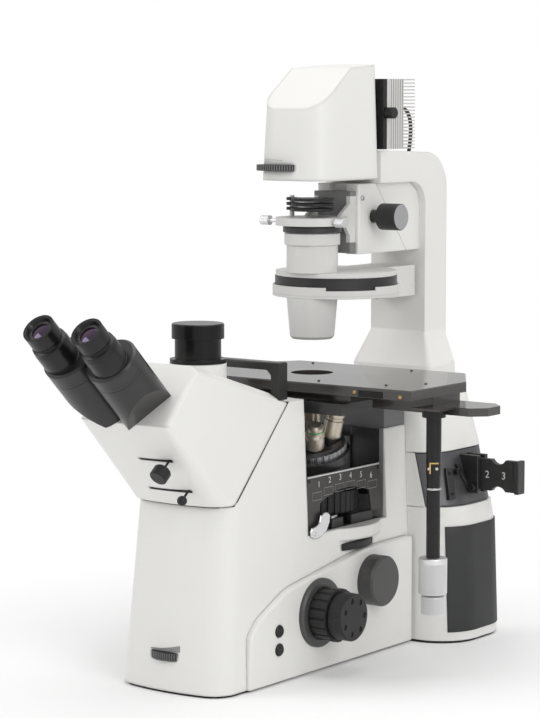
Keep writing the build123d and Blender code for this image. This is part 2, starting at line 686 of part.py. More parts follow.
# Lamp house with cooling fins, its clamp knob and its lead
lamp_half = 45.0
lamp_low, lamp_high = 619.0, 706.0
lamp_plate_back, lamp_body_back, lamp_fin_back = 102.0, 139.0, 165.0
lamp_body_half = 41.0
fin_count = 21
fin_thick = 1.6
fin_pitch = (lamp_high - lamp_low - fin_thick) / (fin_count - 1)
clamp_z, clamp_y = 664.0, 95.0
clamp_r, clamp_stem_r, clamp_depth = 7.0, 3.0, 12.0
clamp_profile = [(0, -11.0), (3.0, -11.0), (3.0, 1.0), (7.0, 1.0), (7.0, 12.0), (0, 12.0)]
cord_r = 2.5
cord_points = [(0.0, 160.0, 667.0), (0.0, 200.0, 676.0), (0.0, 224.0, 648.0), (0.0, 212.0, 606.0)]
cord_start_dir = (0, 40.0, 9.0)
first_bend, second_bend = 26.0, 29.0
with BuildPart() as lamp_house:
    add(block((-lamp_half, hood_back, lamp_low), (lamp_half, lamp_plate_back, lamp_high)))
    add(block((-lamp_body_half, lamp_plate_back, lamp_low), (lamp_body_half, lamp_body_back, lamp_high)))
    with BuildSketch(Plane.YZ):
        with Locations(((lamp_body_back + lamp_fin_back) / 2, (lamp_low + lamp_high) / 2)):
            with GridLocations(fin_pitch, fin_pitch, 1, fin_count):
                Rectangle(lamp_fin_back - lamp_body_back, fin_thick)
    extrude(amount=lamp_body_half, both=True)
    add(disc(along_x(0, clamp_y, clamp_z), clamp_stem_r + running, lamp_half - clamp_depth,
             lamp_half + overrun), mode=Mode.SUBTRACT)
    add(disc(Plane(origin=cord_points[0], x_dir=(1, 0, 0), z_dir=cord_start_dir), cord_r + gap, -gap,
             lamp_fin_back - lamp_body_back), mode=Mode.SUBTRACT)
save(lamp_house.part, "lamp_house")
save(turned(along_x(lamp_half, clamp_y, clamp_z), clamp_profile), "lamp_clamp_knob")

with BuildPart() as lamp_cable:
    with BuildLine() as cord_line:
        FilletPolyline(*cord_points, radius=(first_bend, second_bend))
    with BuildSketch(Plane(origin=cord_points[0], z_dir=cord_start_dir)):
        Circle(cord_r)
    sweep(path=cord_line.line)
save(lamp_cable.part, "lamp_cable")

# Condenser carrier block under the arm
block_half = 32.0
block_front, block_low = 55.0, 490.0
block_edge = 2.4
rail_half, rail_depth = 12.0, 8.0
block_corner = arm_inner_round + 3 * gap
knob_y, knob_z = 86.0, 536.0
knob_stem_r, knob_r, knob_start = 8.0, 16.5, 46.0
knob_face = 74.0
with BuildPart() as condenser_block:
    add(side_profile([(block_front, block_low), (arm_front, block_low), (arm_front, arm_underside),
                      (block_front, arm_underside)], block_half, [((arm_front, arm_underside), block_corner)]))
    chamfer(condenser_block.edges().filter_by(Axis.Z).sort_by(Axis.Y)[:2], block_edge)
    add(block((-rail_half - gap, block_front - overrun, block_low - overrun),
              (rail_half + gap, block_front + rail_depth + gap, arm_underside + overrun)),
        mode=Mode.SUBTRACT)
    add(disc(along_x(0, knob_y, knob_z), knob_stem_r + running, 0, block_half + overrun),
        mode=Mode.SUBTRACT)
save(condenser_block.part, "condenser_block")
condenser_focus_knob = turned(along_x(0, knob_y, knob_z),
                              [(0, gap), (knob_stem_r, gap), (knob_stem_r, knob_start), (knob_r, knob_start),
                               (knob_r, knob_face - shadow_gap), (knob_r - shadow_gap, knob_face),
                               (0, knob_face)])
save(condenser_focus_knob, "condenser_focus_knob")

# Condenser bracket with its round collar
bracket_front, bracket_half = 42.0, 27.0
bracket_low, bracket_high = 492.0, 568.0
collar_low, collar_high = 527.7, 537.5
condenser_collar_r, condenser_bore_r = 45.0, 31.0
post_x, post_y, post_r = -38.0, 10.0, 3.0
post_foot, post_top = 535.0, 563.0
centring_y, centring_z = -14.0, 532.6
centring_r, thumb_r, thumb_length = 2.5, 6.0, 12.0
centring_tip = 34.0
gusset_inner = 22.0
gusset_side = [(20.0, 527.7), (20.0, 537.5), (42.0, 553.0), (42.0, 513.3), (31.0, 527.7)]
with BuildPart() as condenser_bracket:
    add(block((-bracket_half, bracket_front, bracket_low), (bracket_half, block_front - gap, bracket_high)))
    add(block((-rail_half, bracket_front, bracket_low), (rail_half, block_front + rail_depth, bracket_high)))
    add(disc(upright(0, 0, 0), condenser_collar_r, collar_low, collar_high))
    for side in (1, -1):
        with BuildSketch(Plane.YZ.offset(side * gusset_inner)):
            with BuildLine():
                Polyline(*gusset_side, close=True)
            make_face()
        extrude(amount=side * (bracket_half - gusset_inner))
    add(disc(upright(0, 0, 0), condenser_bore_r, collar_low - overrun, collar_high + overrun),
        mode=Mode.SUBTRACT)
    add(disc(upright(post_x, post_y, 0), post_r, post_foot, post_top))
    for side in (1, -1):
        add(disc(along_x(0, centring_y, centring_z, side), centring_r + running, condenser_bore_r - overrun,
                 condenser_collar_r + overrun), mode=Mode.SUBTRACT)
save(condenser_bracket.part, "condenser_bracket")
for name, side, reach in (("centring_screw_right", 1, 58.0), ("centring_screw_left", -1, 66.0)):
    screw = turned(along_x(0, centring_y, centring_z, side),
                   [(0, centring_tip), (centring_r, centring_tip), (centring_r, reach - thumb_length),
                    (thumb_r, reach - thumb_length), (thumb_r, reach), (0, reach)])
    save(screw, name)

filter_r, filter_thick = 26.0, 3.6
filter_levels = (545.0, 551.0, 557.0)
filter_arm_half = 5.0
filter_eye_r = 7.0
for name, filter_z in zip(("filter_lower", "filter_middle", "filter_upper"), filter_levels):
    with BuildPart() as swing_filter:
        with BuildSketch(Plane.XY.offset(filter_z)):
            Circle(filter_r)
            with BuildLine():
                Polyline((0, -filter_arm_half), (0, filter_arm_half), (post_x, post_y + filter_arm_half),
                         (post_x, post_y - filter_arm_half), close=True)
            make_face()
            with Locations((post_x, post_y)):
                Circle(filter_eye_r)
                Circle(post_r + running, mode=Mode.SUBTRACT)
        extrude(amount=filter_thick)
    save(swing_filter.part, name)

# Condenser barrel, turret and front lens
barrel_top_r, barrel_r = 34.3, 31.6
barrel_low, barrel_step, barrel_high = 470.0, 504.0, 518.0
barrel_ring_r, barrel_ring_low, barrel_ring_high = 36.0, 519.5, 526.0
turret_y, turret_r, turret_post_r = 51.0, 76.0, 8.0
floor_low, floor_high, roof_low = 439.0, 449.0, 464.0
floor_r, roof_r = 79.0, 75.0
rim_inner_r, rim_top = 76.8, 453.0
rim_open = (-64.0, -17.0)      # part of the round without a rim, counted from +X
rear_half, rear_front, rear_back, rear_low = 30.0, 100.0, 184.0, 431.0
lens_profile = [(0, 388.5), (24.5, 388.5), (27.3, 391.5), (31.2, 437.0), (31.2, 439.0), (0, 439.0)]
barrel_neck_r = condenser_bore_r - running
condenser_barrel = turned(upright(0, 0, 0),
                          [(0, barrel_low), (barrel_r, barrel_low), (barrel_r, barrel_step),
                           (barrel_top_r, barrel_step), (barrel_top_r, barrel_high),
                           (barrel_neck_r, barrel_high), (barrel_neck_r, barrel_ring_low),
                           (barrel_ring_r, barrel_ring_low), (barrel_ring_r, barrel_ring_high),
                           (barrel_neck_r, barrel_ring_high), (barrel_neck_r, collar_high), (0, collar_high)])
save(condenser_barrel, "condenser_barrel")
turret_axis = upright(0, turret_y, 0)
with BuildPart() as condenser_housing:
    add(disc(turret_axis, floor_r, floor_low, floor_high))
    add(ring(turret_axis, rim_inner_r, floor_r, floor_high, rim_top))
    with BuildSketch(turret_axis.offset(floor_high)):
        with BuildLine():
            Polyline((0, 0), *[(2 * floor_r * cos(radians(turn)), 2 * floor_r * sin(radians(turn)))
                               for turn in rim_open], close=True)
        make_face()
    extrude(amount=rim_top - floor_high, mode=Mode.SUBTRACT)
    add(disc(turret_axis, roof_r, roof_low, barrel_low))
    add(block((-rear_half, rear_front, rear_low), (rear_half, rear_back, barrel_low)))
    add(ring(turret_axis, turret_post_r, turret_r + 2 * gap, floor_high, roof_low), mode=Mode.SUBTRACT)
    add(disc(turret_axis, turret_post_r, floor_low, roof_low))
save(condenser_housing.part, "condenser_housing")
condenser_turret = ring(turret_axis, turret_post_r + running, turret_r, floor_high + gap, roof_low - gap)
save(condenser_turret, "condenser_turret")
save(turned(upright(0, 0, 0), lens_profile), "front_lens")

# Stage
stage_base_half, stage_base_front = 107.0, -90.0
stage_base_low, stage_base_high = 309.0, 323.0
stage_frame_back, stage_body_half = -74.0, 84.0
stage_hole_r = 77.0
carriage_slot_r = 38.0
bridge_front = 62.0
carriage_low, carriage_high = 323.4, 333.6
carriage_left, carriage_right, carriage_front, carriage_back = -104.0, 110.0, -75.0, 75.0
plate_low, plate_high = 334.0, 346.0
plate_left, plate_right, plate_front, plate_back = -143.0, 207.0, -93.0, 105.0
plate_corner_x, plate_corner_y = 50.0, 78.0
insert_r, insert_hole_r, insert_thick = 55.0, 26.0, 5.0
insert_ledge = 5.0
stage_y_travel, stage_x_travel = 30.0, 57.0
guide_low, guide_left, guide_right = 313.6, 114.0, 266.0
guide_front, guide_back, guide_chamfer = -35.0, 24.0, 16.0
tongue_right = 200.0
handle_x, handle_y = 211.0, -50.0
lug_half, lug_low = 18.0, 320.8
with BuildPart() as stage_base:
    add(block((-stage_base_half, stage_base_front, stage_base_low),
              (stage_base_half, stage_frame_back, stage_base_high)))
    add(block((-stage_body_half, stage_frame_back, stage_base_low),
              (stage_body_half, tower_front, stage_base_high)))
    add(block((-half_width(stage_base_low), bridge_front, rear_wall_top),
              (half_width(stage_base_low), tower_front, stage_base_low)))
    add(disc(upright(0, 0, 0), stage_hole_r, stage_base_low - overrun, stage_base_high + overrun),
        mode=Mode.SUBTRACT)
save(stage_base.part, "stage_base")

with BuildPart() as stage_carriage:
    add(block((carriage_left, carriage_front, carriage_low), (carriage_right, carriage_back, carriage_high)))
    with BuildSketch(Plane.XY.offset(carriage_low)):
        SlotCenterToCenter(2 * stage_y_travel, 2 * carriage_slot_r, rotation=90)
    extrude(amount=carriage_high - carriage_low, mode=Mode.SUBTRACT)
    add(block((carriage_right, guide_front, carriage_low), (tongue_right, guide_back, carriage_high)))
    with BuildSketch(Plane.XY.offset(guide_low)) as guide_plan:
        with Locations(((guide_left + guide_right) / 2, (guide_front + guide_back) / 2)):
            Rectangle(guide_right - guide_left, guide_back - guide_front)
        chamfer(guide_plan.vertices().group_by(Axis.X)[-1], guide_chamfer)
    extrude(amount=carriage_low - guide_low)
    add(block((handle_x - lug_half, handle_y - lug_half, lug_low),
              (handle_x + lug_half, guide_front + overrun, carriage_low)))
save(stage_carriage.part, "stage_carriage")

with BuildPart() as stage_plate:
    with BuildSketch(Plane.XY.offset(plate_low)):
        with BuildLine():
            Polyline((plate_left, plate_front), (plate_right, plate_front),
                     (plate_right, plate_back - plate_corner_y), (plate_right - plate_corner_x, plate_back),
                     (plate_left + plate_corner_x, plate_back), (plate_left, plate_back - plate_corner_y),
                     close=True)
        make_face()
    extrude(amount=plate_high - plate_low)
    chamfer(stage_plate.faces().sort_by(Axis.Z)[-1].edges(), shadow_gap)
    add(disc(upright(0, 0, 0), insert_r, plate_high - insert_thick, plate_high + overrun), mode=Mode.SUBTRACT)
    add(disc(upright(0, 0, 0), insert_r - insert_ledge, plate_low - overrun, plate_high), mode=Mode.SUBTRACT)
save(stage_plate.part, "stage_plate")
stage_insert = ring(upright(0, 0, 0), insert_hole_r, insert_r - running, plate_high - insert_thick, plate_high)
save(stage_insert, "stage_insert")

# Drop handle with two coaxial knobs, profiles as (radius, height)
handle_plane = upright(handle_x, handle_y, 0)
handle_profile = [(5.05, 146.0), (8.25, 146.0), (8.25, 226.0), (9.25, 226.5), (9.25, 228.5), (8.25, 229.0),
                  (8.25, 243.0), (9.0, 243.0), (9.0, 311.0), (14.0, 312.0), (14.0, 320.8), (0, 320.8),
                  (0, 190.0), (5.05, 190.0)]
upper_knob_profile = [(3.05, 102.5), (15.8, 102.5), (16.8, 103.5), (16.8, 144.5), (15.8, 145.5), (5.0, 145.5),
                      (5.0, 185.0), (3.05, 185.0)]
lower_knob_profile = [(0, 78.5), (13.0, 78.5), (14.0, 79.5), (14.0, 99.0), (13.0, 100.0), (3.0, 100.0),
                      (3.0, 184.0), (0, 184.0)]
save(turned(handle_plane, handle_profile), "stage_handle")
save(turned(handle_plane, upper_knob_profile), "handle_upper_knob")
save(turned(handle_plane, lower_knob_profile), "handle_lower_knob")

# Nosepiece carrier, revolver and objectives, profiles as (radius, station)
hub_r, hub_low = 16.0, -44.0
spindle_r, spindle_low = 7.0, -40.0
nose_base_r, nose_base_low, nose_base_high = 54.0, -17.0, -4.0
nose_ring_r, nose_ring_high = 50.0, 4.0
scallop_count, scallop_r, scallop_out = 36, 1.6, 0.5
nose_top_r, nose_top = 46.0, 8.0
seat_boss_r, seat_boss_low, seat_top = 14.0, -8.0, 1.4
web_front = 54.6
objective_count = 5
long_objective = [(0, 1.4), (9.5, 1.4), (9.5, 3.0), (12.0, 3.5), (12.0, 25.0), (11.0, 26.0), (11.0, 29.0),
                  (12.0, 30.0), (12.0, 36.5), (8.0, 42.0), (4.0, 46.0), (0, 46.0)]
short_objective = [(0, 1.4), (9.5, 1.4), (9.5, 3.0), (12.0, 3.5), (12.0, 21.0), (10.0, 24.0), (10.0, 33.0),
                   (7.0, 36.0), (0, 36.0)]


def objective_plane(number):
    """Seat of one objective; seat 0 stands upright on the optical axis."""
    turn = radians(360 * number / objective_count)
    outward = nose_plane.x_dir * cos(turn) + nose_plane.y_dir * sin(turn)
    seat = nose_plane.origin + outward * nose_circle_r + nose_axis * nose_seat_rise
    lean = nose_axis * cos(radians(nose_tilt)) + outward * sin(radians(nose_tilt))
    return Plane(origin=seat, z_dir=lean)


with BuildPart() as nosepiece_carrier:
    add(block((-carrier_half, carrier_front_y, carrier_low), (carrier_half, window_back - gap, carrier_high)))
    add(block((-tongue_half, web_front, carrier_low), (tongue_half, window_back + tongue_depth, tongue_top)))
    add(disc(nose_plane, hub_r, hub_low, nose_base_low - gap))
    add(disc(nose_plane, spindle_r + running, spindle_low - gap, 0), mode=Mode.SUBTRACT)
save(nosepiece_carrier.part, "nosepiece_carrier")
with BuildPart() as revolving_nosepiece:
    add(turned(nose_plane, [(0, nose_base_low), (nose_base_r - shadow_gap, nose_base_low),
                            (nose_base_r, nose_base_low + shadow_gap), (nose_base_r, nose_base_high),
                            (0, nose_base_high)]))
    with BuildSketch(nose_plane.offset(nose_base_high)):
        Circle(nose_ring_r)
        with PolarLocations(nose_ring_r + scallop_out, scallop_count):
            Circle(scallop_r, mode=Mode.SUBTRACT)
    extrude(amount=nose_ring_high - nose_base_high)
    add(disc(nose_plane, nose_top_r, nose_ring_high, nose_top))
    for number in range(objective_count):
        add(disc(objective_plane(number), seat_boss_r, seat_boss_low, seat_top))
    add(disc(nose_plane, spindle_r, spindle_low, nose_base_low))
save(revolving_nosepiece.part, "revolving_nosepiece")

for name, profile, first in (("objectives_long", long_objective, 0), ("objectives_short", short_objective, 1)):
    with BuildPart() as objectives:
        for number in range(first, objective_count, 2):
            add(turned(objective_plane(number), profile))
    save(objectives.part, name)

# Filter cube turret on its post, and the numbered plate in front of it
cube_turret_r, cube_post_r = 58.0, 12.0
cube_low, cube_high, cube_post_top = 178.0, 204.0, 206.0
flute_count, flute_r = 40, 1.6
save(disc(upright(0, 0, 0), cube_post_r, window_floor, cube_post_top), "turret_post")
with BuildPart() as filter_turret:
    with BuildSketch(Plane.XY.offset(cube_low)):
        Circle(cube_turret_r)
        with PolarLocations(cube_turret_r, flute_count):
            Circle(flute_r, mode=Mode.SUBTRACT)
        Circle(cube_post_r + running, mode=Mode.SUBTRACT)
    extrude(amount=cube_high - cube_low)
save(filter_turret.part, "filter_turret")

number_x, number_thick = 67.0, 2.5
number_rise = [(-82.0, 164.0), (-107.0, 164.0), (-107.0, 234.0), (46.0, 234.0), (52.0, 177.0), (29.0, 177.0),
               (24.0, 203.0)]
number_arch = [(24.0, 203.0), (-30.0, 212.0), (-80.0, 200.0)]
with BuildPart() as number_plate:
    with BuildSketch(Plane.YZ.offset(number_x)):
        with BuildLine():
            Polyline(number_arch[-1], *number_rise)
            ThreePointArc(*number_arch)
        make_face()
    extrude(amount=number_thick)
save(number_plate.part, "number_plate")
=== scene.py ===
from math import cos, pi, radians, sin
import bmesh
import bpy
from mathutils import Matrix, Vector


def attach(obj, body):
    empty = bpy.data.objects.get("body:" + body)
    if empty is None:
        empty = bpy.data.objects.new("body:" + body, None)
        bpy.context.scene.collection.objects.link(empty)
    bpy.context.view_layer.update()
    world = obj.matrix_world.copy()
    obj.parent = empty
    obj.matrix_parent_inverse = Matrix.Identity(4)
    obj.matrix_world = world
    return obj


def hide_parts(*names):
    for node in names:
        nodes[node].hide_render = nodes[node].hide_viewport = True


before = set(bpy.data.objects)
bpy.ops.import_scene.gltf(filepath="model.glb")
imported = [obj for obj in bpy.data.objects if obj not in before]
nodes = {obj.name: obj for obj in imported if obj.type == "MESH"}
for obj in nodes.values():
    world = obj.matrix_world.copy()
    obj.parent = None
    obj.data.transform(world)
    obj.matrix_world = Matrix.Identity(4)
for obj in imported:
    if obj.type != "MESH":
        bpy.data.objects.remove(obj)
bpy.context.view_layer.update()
mm = 0.001

# Camera at the photograph's angle; focal length and picture height in its pixels
focal_pixels, picture_pixels = 2500.0, 718.0
sensor = 36.0
camera_data = bpy.data.cameras.new("camera")
camera = bpy.data.objects.new("camera", camera_data)
bpy.context.collection.objects.link(camera)
camera.location = (1.7812, -2.4943, 0.690)
camera.rotation_euler = (radians(83.9), 0.0, radians(36.5))
camera_data.sensor_fit = "VERTICAL"
camera_data.sensor_height = sensor
camera_data.lens = sensor * focal_pixels / picture_pixels
camera_data.clip_end = 50.0
bpy.context.scene.camera = camera


def lamp_cable():
    """Lead from the lamp house down into the arm, along the same route as its solid.

    The bevel is one metre and each point scales it, so the curve's own box stays close to the lead.
    """
    lead_radius = 0.0025
    route = [(0.0, 0.160, 0.667), (0.0, 0.200, 0.676), (0.0, 0.224, 0.648), (0.0, 0.212, 0.606)]
    curve = bpy.data.curves.new("lamp_lead", "CURVE")
    curve.dimensions = "3D"
    curve.bevel_depth = 1.0
    curve.bevel_resolution = 6
    curve.resolution_u = 16
    spline = curve.splines.new("NURBS")
    spline.points.add(len(route) - 1)
    for point, place in zip(spline.points, route):
        point.co = (*place, 1.0)
        point.radius = lead_radius
    spline.order_u = 3
    spline.use_endpoint_u = True
    lead = bpy.data.objects.new("lamp_lead", curve)
    bpy.context.collection.objects.link(lead)
    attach(lead, "arm")
    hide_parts("lamp_cable")
    return lead


lead = lamp_cable()


def node_group(name, inputs, outputs):
    """Empty shader group with named sockets; returns the tree and its two end nodes."""
    tree = bpy.data.node_groups.new(name, "ShaderNodeTree")
    for socket, kind, value in inputs:
        made = tree.interface.new_socket(name=socket, in_out="INPUT", socket_type=kind)
        if value is not None:
            made.default_value = value
    for socket, kind in outputs:
        tree.interface.new_socket(name=socket, in_out="OUTPUT", socket_type=kind)
    return tree, tree.nodes.new("NodeGroupInput"), tree.nodes.new("NodeGroupOutput")


def object_noise(tree, scale_socket, detail=3.0):
    """Noise that stays with the object; returns the noise node."""
    place = tree.nodes.new("ShaderNodeTexCoord")
    noise = tree.nodes.new("ShaderNodeTexNoise")
    noise.inputs["Detail"].default_value = detail
    tree.links.new(place.outputs["Object"], noise.inputs["Vector"])
    if scale_socket is not None:
        tree.links.new(scale_socket, noise.inputs["Scale"])
    return noise


def map_range(tree, value, low_from, high_from, low_to, high_to):
    """Map Range node between two spans; the last two may be sockets or numbers."""
    node = tree.nodes.new("ShaderNodeMapRange")
    tree.links.new(value, node.inputs["Value"])
    for name, amount in (("From Min", low_from), ("From Max", high_from), ("To Min", low_to),
                         ("To Max", high_to)):
        if isinstance(amount, (int, float)):
            node.inputs[name].default_value = amount
        else:
            tree.links.new(amount, node.inputs[name])
    return node.outputs["Result"]


def mix_colour(tree, factor, first, second):
    """Colour mix; the colours may be sockets or tuples."""
    node = tree.nodes.new("ShaderNodeMix")
    node.data_type = "RGBA"
    tree.links.new(factor, node.inputs["Factor"])
    for index, colour in ((6, first), (7, second)):
        if isinstance(colour, tuple):
            node.inputs[index].default_value = colour
        else:
            tree.links.new(colour, node.inputs[index])
    return node.outputs[2]


def build_skin_group():
    """Paint or moulding skin: slow mottling, fine grain and softly rounded edges."""
    grain_depth = 0.0002
    tree, start, end = node_group(
        "moulded_skin",
        [("Colour", "NodeSocketColor", (0.8, 0.8, 0.8, 1)),
         ("Second Colour", "NodeSocketColor", (0.7, 0.7, 0.7, 1)),
         ("Mottle Scale", "NodeSocketFloat", 6.0), ("Grain Scale", "NodeSocketFloat", 900.0),
         ("Grain Height", "NodeSocketFloat", 0.1), ("Roughness Low", "NodeSocketFloat", 0.4),
         ("Roughness High", "NodeSocketFloat", 0.5), ("Edge Radius", "NodeSocketFloat", 0.0012)],
        [("Colour", "NodeSocketColor"), ("Roughness", "NodeSocketFloat"), ("Normal", "NodeSocketVector")])
    mottle = object_noise(tree, start.outputs["Mottle Scale"])
    share = map_range(tree, mottle.outputs["Fac"], 0.35, 0.65, 0.0, 1.0)
    tree.links.new(mix_colour(tree, share, start.outputs["Colour"], start.outputs["Second Colour"]),
                   end.inputs["Colour"])
    tree.links.new(map_range(tree, mottle.outputs["Fac"], 0.3, 0.7, start.outputs["Roughness Low"],
                             start.outputs["Roughness High"]), end.inputs["Roughness"])
    grain = object_noise(tree, start.outputs["Grain Scale"], 2.0)
    round_edge = tree.nodes.new("ShaderNodeBevel")
    round_edge.samples = 4
    tree.links.new(start.outputs["Edge Radius"], round_edge.inputs["Radius"])
    bump = tree.nodes.new("ShaderNodeBump")
    bump.inputs["Distance"].default_value = grain_depth
    tree.links.new(start.outputs["Grain Height"], bump.inputs["Strength"])
    tree.links.new(grain.outputs["Fac"], bump.inputs["Height"])
    tree.links.new(round_edge.outputs["Normal"], bump.inputs["Normal"])
    tree.links.new(bump.outputs["Normal"], end.inputs["Normal"])
    return tree


def scalar(tree, operation, first, second=None):
    """Math node; its inputs may be sockets or numbers."""
    node = tree.nodes.new("ShaderNodeMath")
    node.operation = operation
    for index, value in enumerate((first, second)):
        if isinstance(value, (int, float)):
            node.inputs[index].default_value = value
        elif value is not None:
            tree.links.new(value, node.inputs[index])
    return node.outputs[0]


def build_zone_group():
    """Mask that is one inside an upright box in the object's own coordinates, with crisp edges."""
    tree, start, end = node_group(
        "zone_mask", [("Low", "NodeSocketVector", None), ("High", "NodeSocketVector", None)],
        [("Mask", "NodeSocketFloat")])
    place = tree.nodes.new("ShaderNodeTexCoord")
    result = None
    for name, operation in (("Low", "GREATER_THAN"), ("High", "LESS_THAN")):
        here = tree.nodes.new("ShaderNodeSeparateXYZ")
        there = tree.nodes.new("ShaderNodeSeparateXYZ")
        tree.links.new(place.outputs["Object"], here.inputs[0])
        tree.links.new(start.outputs[name], there.inputs[0])
        for axis in range(3):
            inside = scalar(tree, operation, here.outputs[axis], there.outputs[axis])
            result = inside if result is None else scalar(tree, "MULTIPLY", result, inside)
    tree.links.new(result, end.inputs["Mask"])
    return tree


def build_band_group():
    """Mask of a ring round an axis, with ridges round it and lines along it."""
    tree, start, end = node_group(
        "band_mask",
        [("Origin", "NodeSocketVector", None), ("Axis", "NodeSocketVector", None),
         ("Across", "NodeSocketVector", None), ("Up", "NodeSocketVector", None),
         ("Low", "NodeSocketFloat", 0.0), ("High", "NodeSocketFloat", 1.0),
         ("Inner", "NodeSocketFloat", 0.0), ("Outer", "NodeSocketFloat", 1.0),
         ("Count", "NodeSocketFloat", 60.0), ("Pitch", "NodeSocketFloat", 1.0),
         ("Share", "NodeSocketFloat", 0.5)],
        [("Mask", "NodeSocketFloat"), ("Ridges", "NodeSocketFloat"), ("Lines", "NodeSocketFloat")])
    place = tree.nodes.new("ShaderNodeTexCoord")
    shift = tree.nodes.new("ShaderNodeVectorMath")
    shift.operation = "SUBTRACT"
    tree.links.new(place.outputs["Object"], shift.inputs[0])
    tree.links.new(start.outputs["Origin"], shift.inputs[1])
    parts = []
    for name in ("Axis", "Across", "Up"):
        dot = tree.nodes.new("ShaderNodeVectorMath")
        dot.operation = "DOT_PRODUCT"
        tree.links.new(shift.outputs["Vector"], dot.inputs[0])
        tree.links.new(start.outputs[name], dot.inputs[1])
        parts.append(dot.outputs["Value"])
    station, across, up = parts
    radius = scalar(tree, "SQRT", scalar(tree, "ADD", scalar(tree, "MULTIPLY", across, across),
                                         scalar(tree, "MULTIPLY", up, up)))
    along = scalar(tree, "MULTIPLY", scalar(tree, "GREATER_THAN", station, start.outputs["Low"]),
                   scalar(tree, "LESS_THAN", station, start.outputs["High"]))
    around = scalar(tree, "MULTIPLY", scalar(tree, "GREATER_THAN", radius, start.outputs["Inner"]),
                    scalar(tree, "LESS_THAN", radius, start.outputs["Outer"]))
    mask = scalar(tree, "MULTIPLY", along, around)
    wave = scalar(tree, "SINE", scalar(tree, "MULTIPLY", scalar(tree, "ARCTAN2", up, across),
                                       start.outputs["Count"]))
    above = scalar(tree, "SUBTRACT", station, start.outputs["Low"])
    step = scalar(tree, "FRACT", scalar(tree, "DIVIDE", above, start.outputs["Pitch"]))
    tree.links.new(mask, end.inputs["Mask"])
    tree.links.new(scalar(tree, "MULTIPLY", mask, wave), end.inputs["Ridges"])
    tree.links.new(scalar(tree, "MULTIPLY", mask, scalar(tree, "LESS_THAN", step, start.outputs["Share"])),
                   end.inputs["Lines"])
    return tree


skin_group = build_skin_group()
zone_group = build_zone_group()
band_group = build_band_group()


def band(origin, axis, low, high, inner, outer, tint=None, metal=None, kind="Mask", count=60.0, pitch=1.0,
         share=0.5, depth=0.0):
    """Settings of one band, in millimetres."""
    return {"origin": origin, "axis": axis, "low": low, "high": high, "inner": inner, "outer": outer,
            "tint": tint, "metal": metal, "kind": kind, "count": count, "pitch": pitch, "share": share,
            "depth": depth}


def add_band(tree, settings):
    """Band group node set up from its settings."""
    node = tree.nodes.new("ShaderNodeGroup")
    node.node_tree = band_group
    along = Vector(settings["axis"]).normalized()
    across = along.orthogonal().normalized()
    for name, value in (("Origin", Vector(settings["origin"]) * mm), ("Axis", along), ("Across", across),
                        ("Up", along.cross(across))):
        node.inputs[name].default_value = value
    for name in ("Low", "High", "Inner", "Outer", "Pitch"):
        node.inputs[name].default_value = settings[name.lower()] * mm
    node.inputs["Count"].default_value = settings["count"]
    node.inputs["Share"].default_value = settings["share"]
    return node


def finish(name, colour, second, rough, grain=(900.0, 0.1), metallic=0.0, edge=0.0012, mottle=6.0, coat=0.0,
           zones=(), bands=(), coat_rough=0.25, specular=0.5):
    """Material with the moulded skin; zones are (low, high, colour) in metres, bands come from band()."""
    material = bpy.data.materials.new(name)
    material.use_nodes = True
    tree = material.node_tree
    shader = tree.nodes["Principled BSDF"]
    skin = tree.nodes.new("ShaderNodeGroup")
    skin.node_tree = skin_group
    skin.inputs["Colour"].default_value = (*colour, 1)
    skin.inputs["Second Colour"].default_value = (*second, 1)
    skin.inputs["Mottle Scale"].default_value = mottle
    skin.inputs["Grain Scale"].default_value, skin.inputs["Grain Height"].default_value = grain
    skin.inputs["Roughness Low"].default_value, skin.inputs["Roughness High"].default_value = rough
    skin.inputs["Edge Radius"].default_value = edge
    paint = skin.outputs["Colour"]
    normal = skin.outputs["Normal"]
    shine = None
    for low, high, tint in zones:
        node = tree.nodes.new("ShaderNodeGroup")
        node.node_tree = zone_group
        node.inputs["Low"].default_value = low
        node.inputs["High"].default_value = high
        paint = mix_colour(tree, node.outputs["Mask"], paint, (*tint, 1))
    for settings in bands:
        node = add_band(tree, settings)
        share = node.outputs[settings["kind"]]
        if settings["tint"] is not None:
            paint = mix_colour(tree, share, paint, (*settings["tint"], 1))
        if settings["metal"] is not None:
            shine = map_range(tree, node.outputs["Mask"], 0.0, 1.0, metallic if shine is None else shine,
                              settings["metal"])
        if settings["depth"] > 0.0:
            bump = tree.nodes.new("ShaderNodeBump")
            bump.inputs["Distance"].default_value = settings["depth"] * mm
            bump.inputs["Strength"].default_value = 1.0
            relief = "Lines" if settings["kind"] == "Lines" else "Ridges"
            tree.links.new(node.outputs[relief], bump.inputs["Height"])
            tree.links.new(normal, bump.inputs["Normal"])
            normal = bump.outputs["Normal"]
    tree.links.new(paint, shader.inputs["Base Color"])
    tree.links.new(skin.outputs["Roughness"], shader.inputs["Roughness"])
    tree.links.new(normal, shader.inputs["Normal"])
    if shine is None:
        shader.inputs["Metallic"].default_value = metallic
    else:
        tree.links.new(shine, shader.inputs["Metallic"])
    shader.inputs["Specular IOR Level"].default_value = specular
    if coat > 0.0:
        shader.inputs["Coat Weight"].default_value = coat
        shader.inputs["Coat Roughness"].default_value = coat_rough
    return material


# Places that several finishes and pieces share, in millimetres
tilt, lean_turn = radians(15.0), radians(-70.0)
nose_axis = Vector((sin(tilt) * cos(lean_turn), sin(tilt) * sin(lean_turn), cos(tilt)))
nose_out = Vector((-cos(tilt) * cos(lean_turn), -cos(tilt) * sin(lean_turn), sin(tilt)))
nose_foot = Vector((0, 0, 274.0)) - nose_out * 31.0 - nose_axis * 9.0
view_angle = radians(44.0)
view_up = Vector((0, -cos(view_angle), sin(view_angle)))
view_down = Vector((0, -sin(view_angle), -cos(view_angle)))
eye_y, eye_z = -353.2, 333.8
eye_drop = 5.6


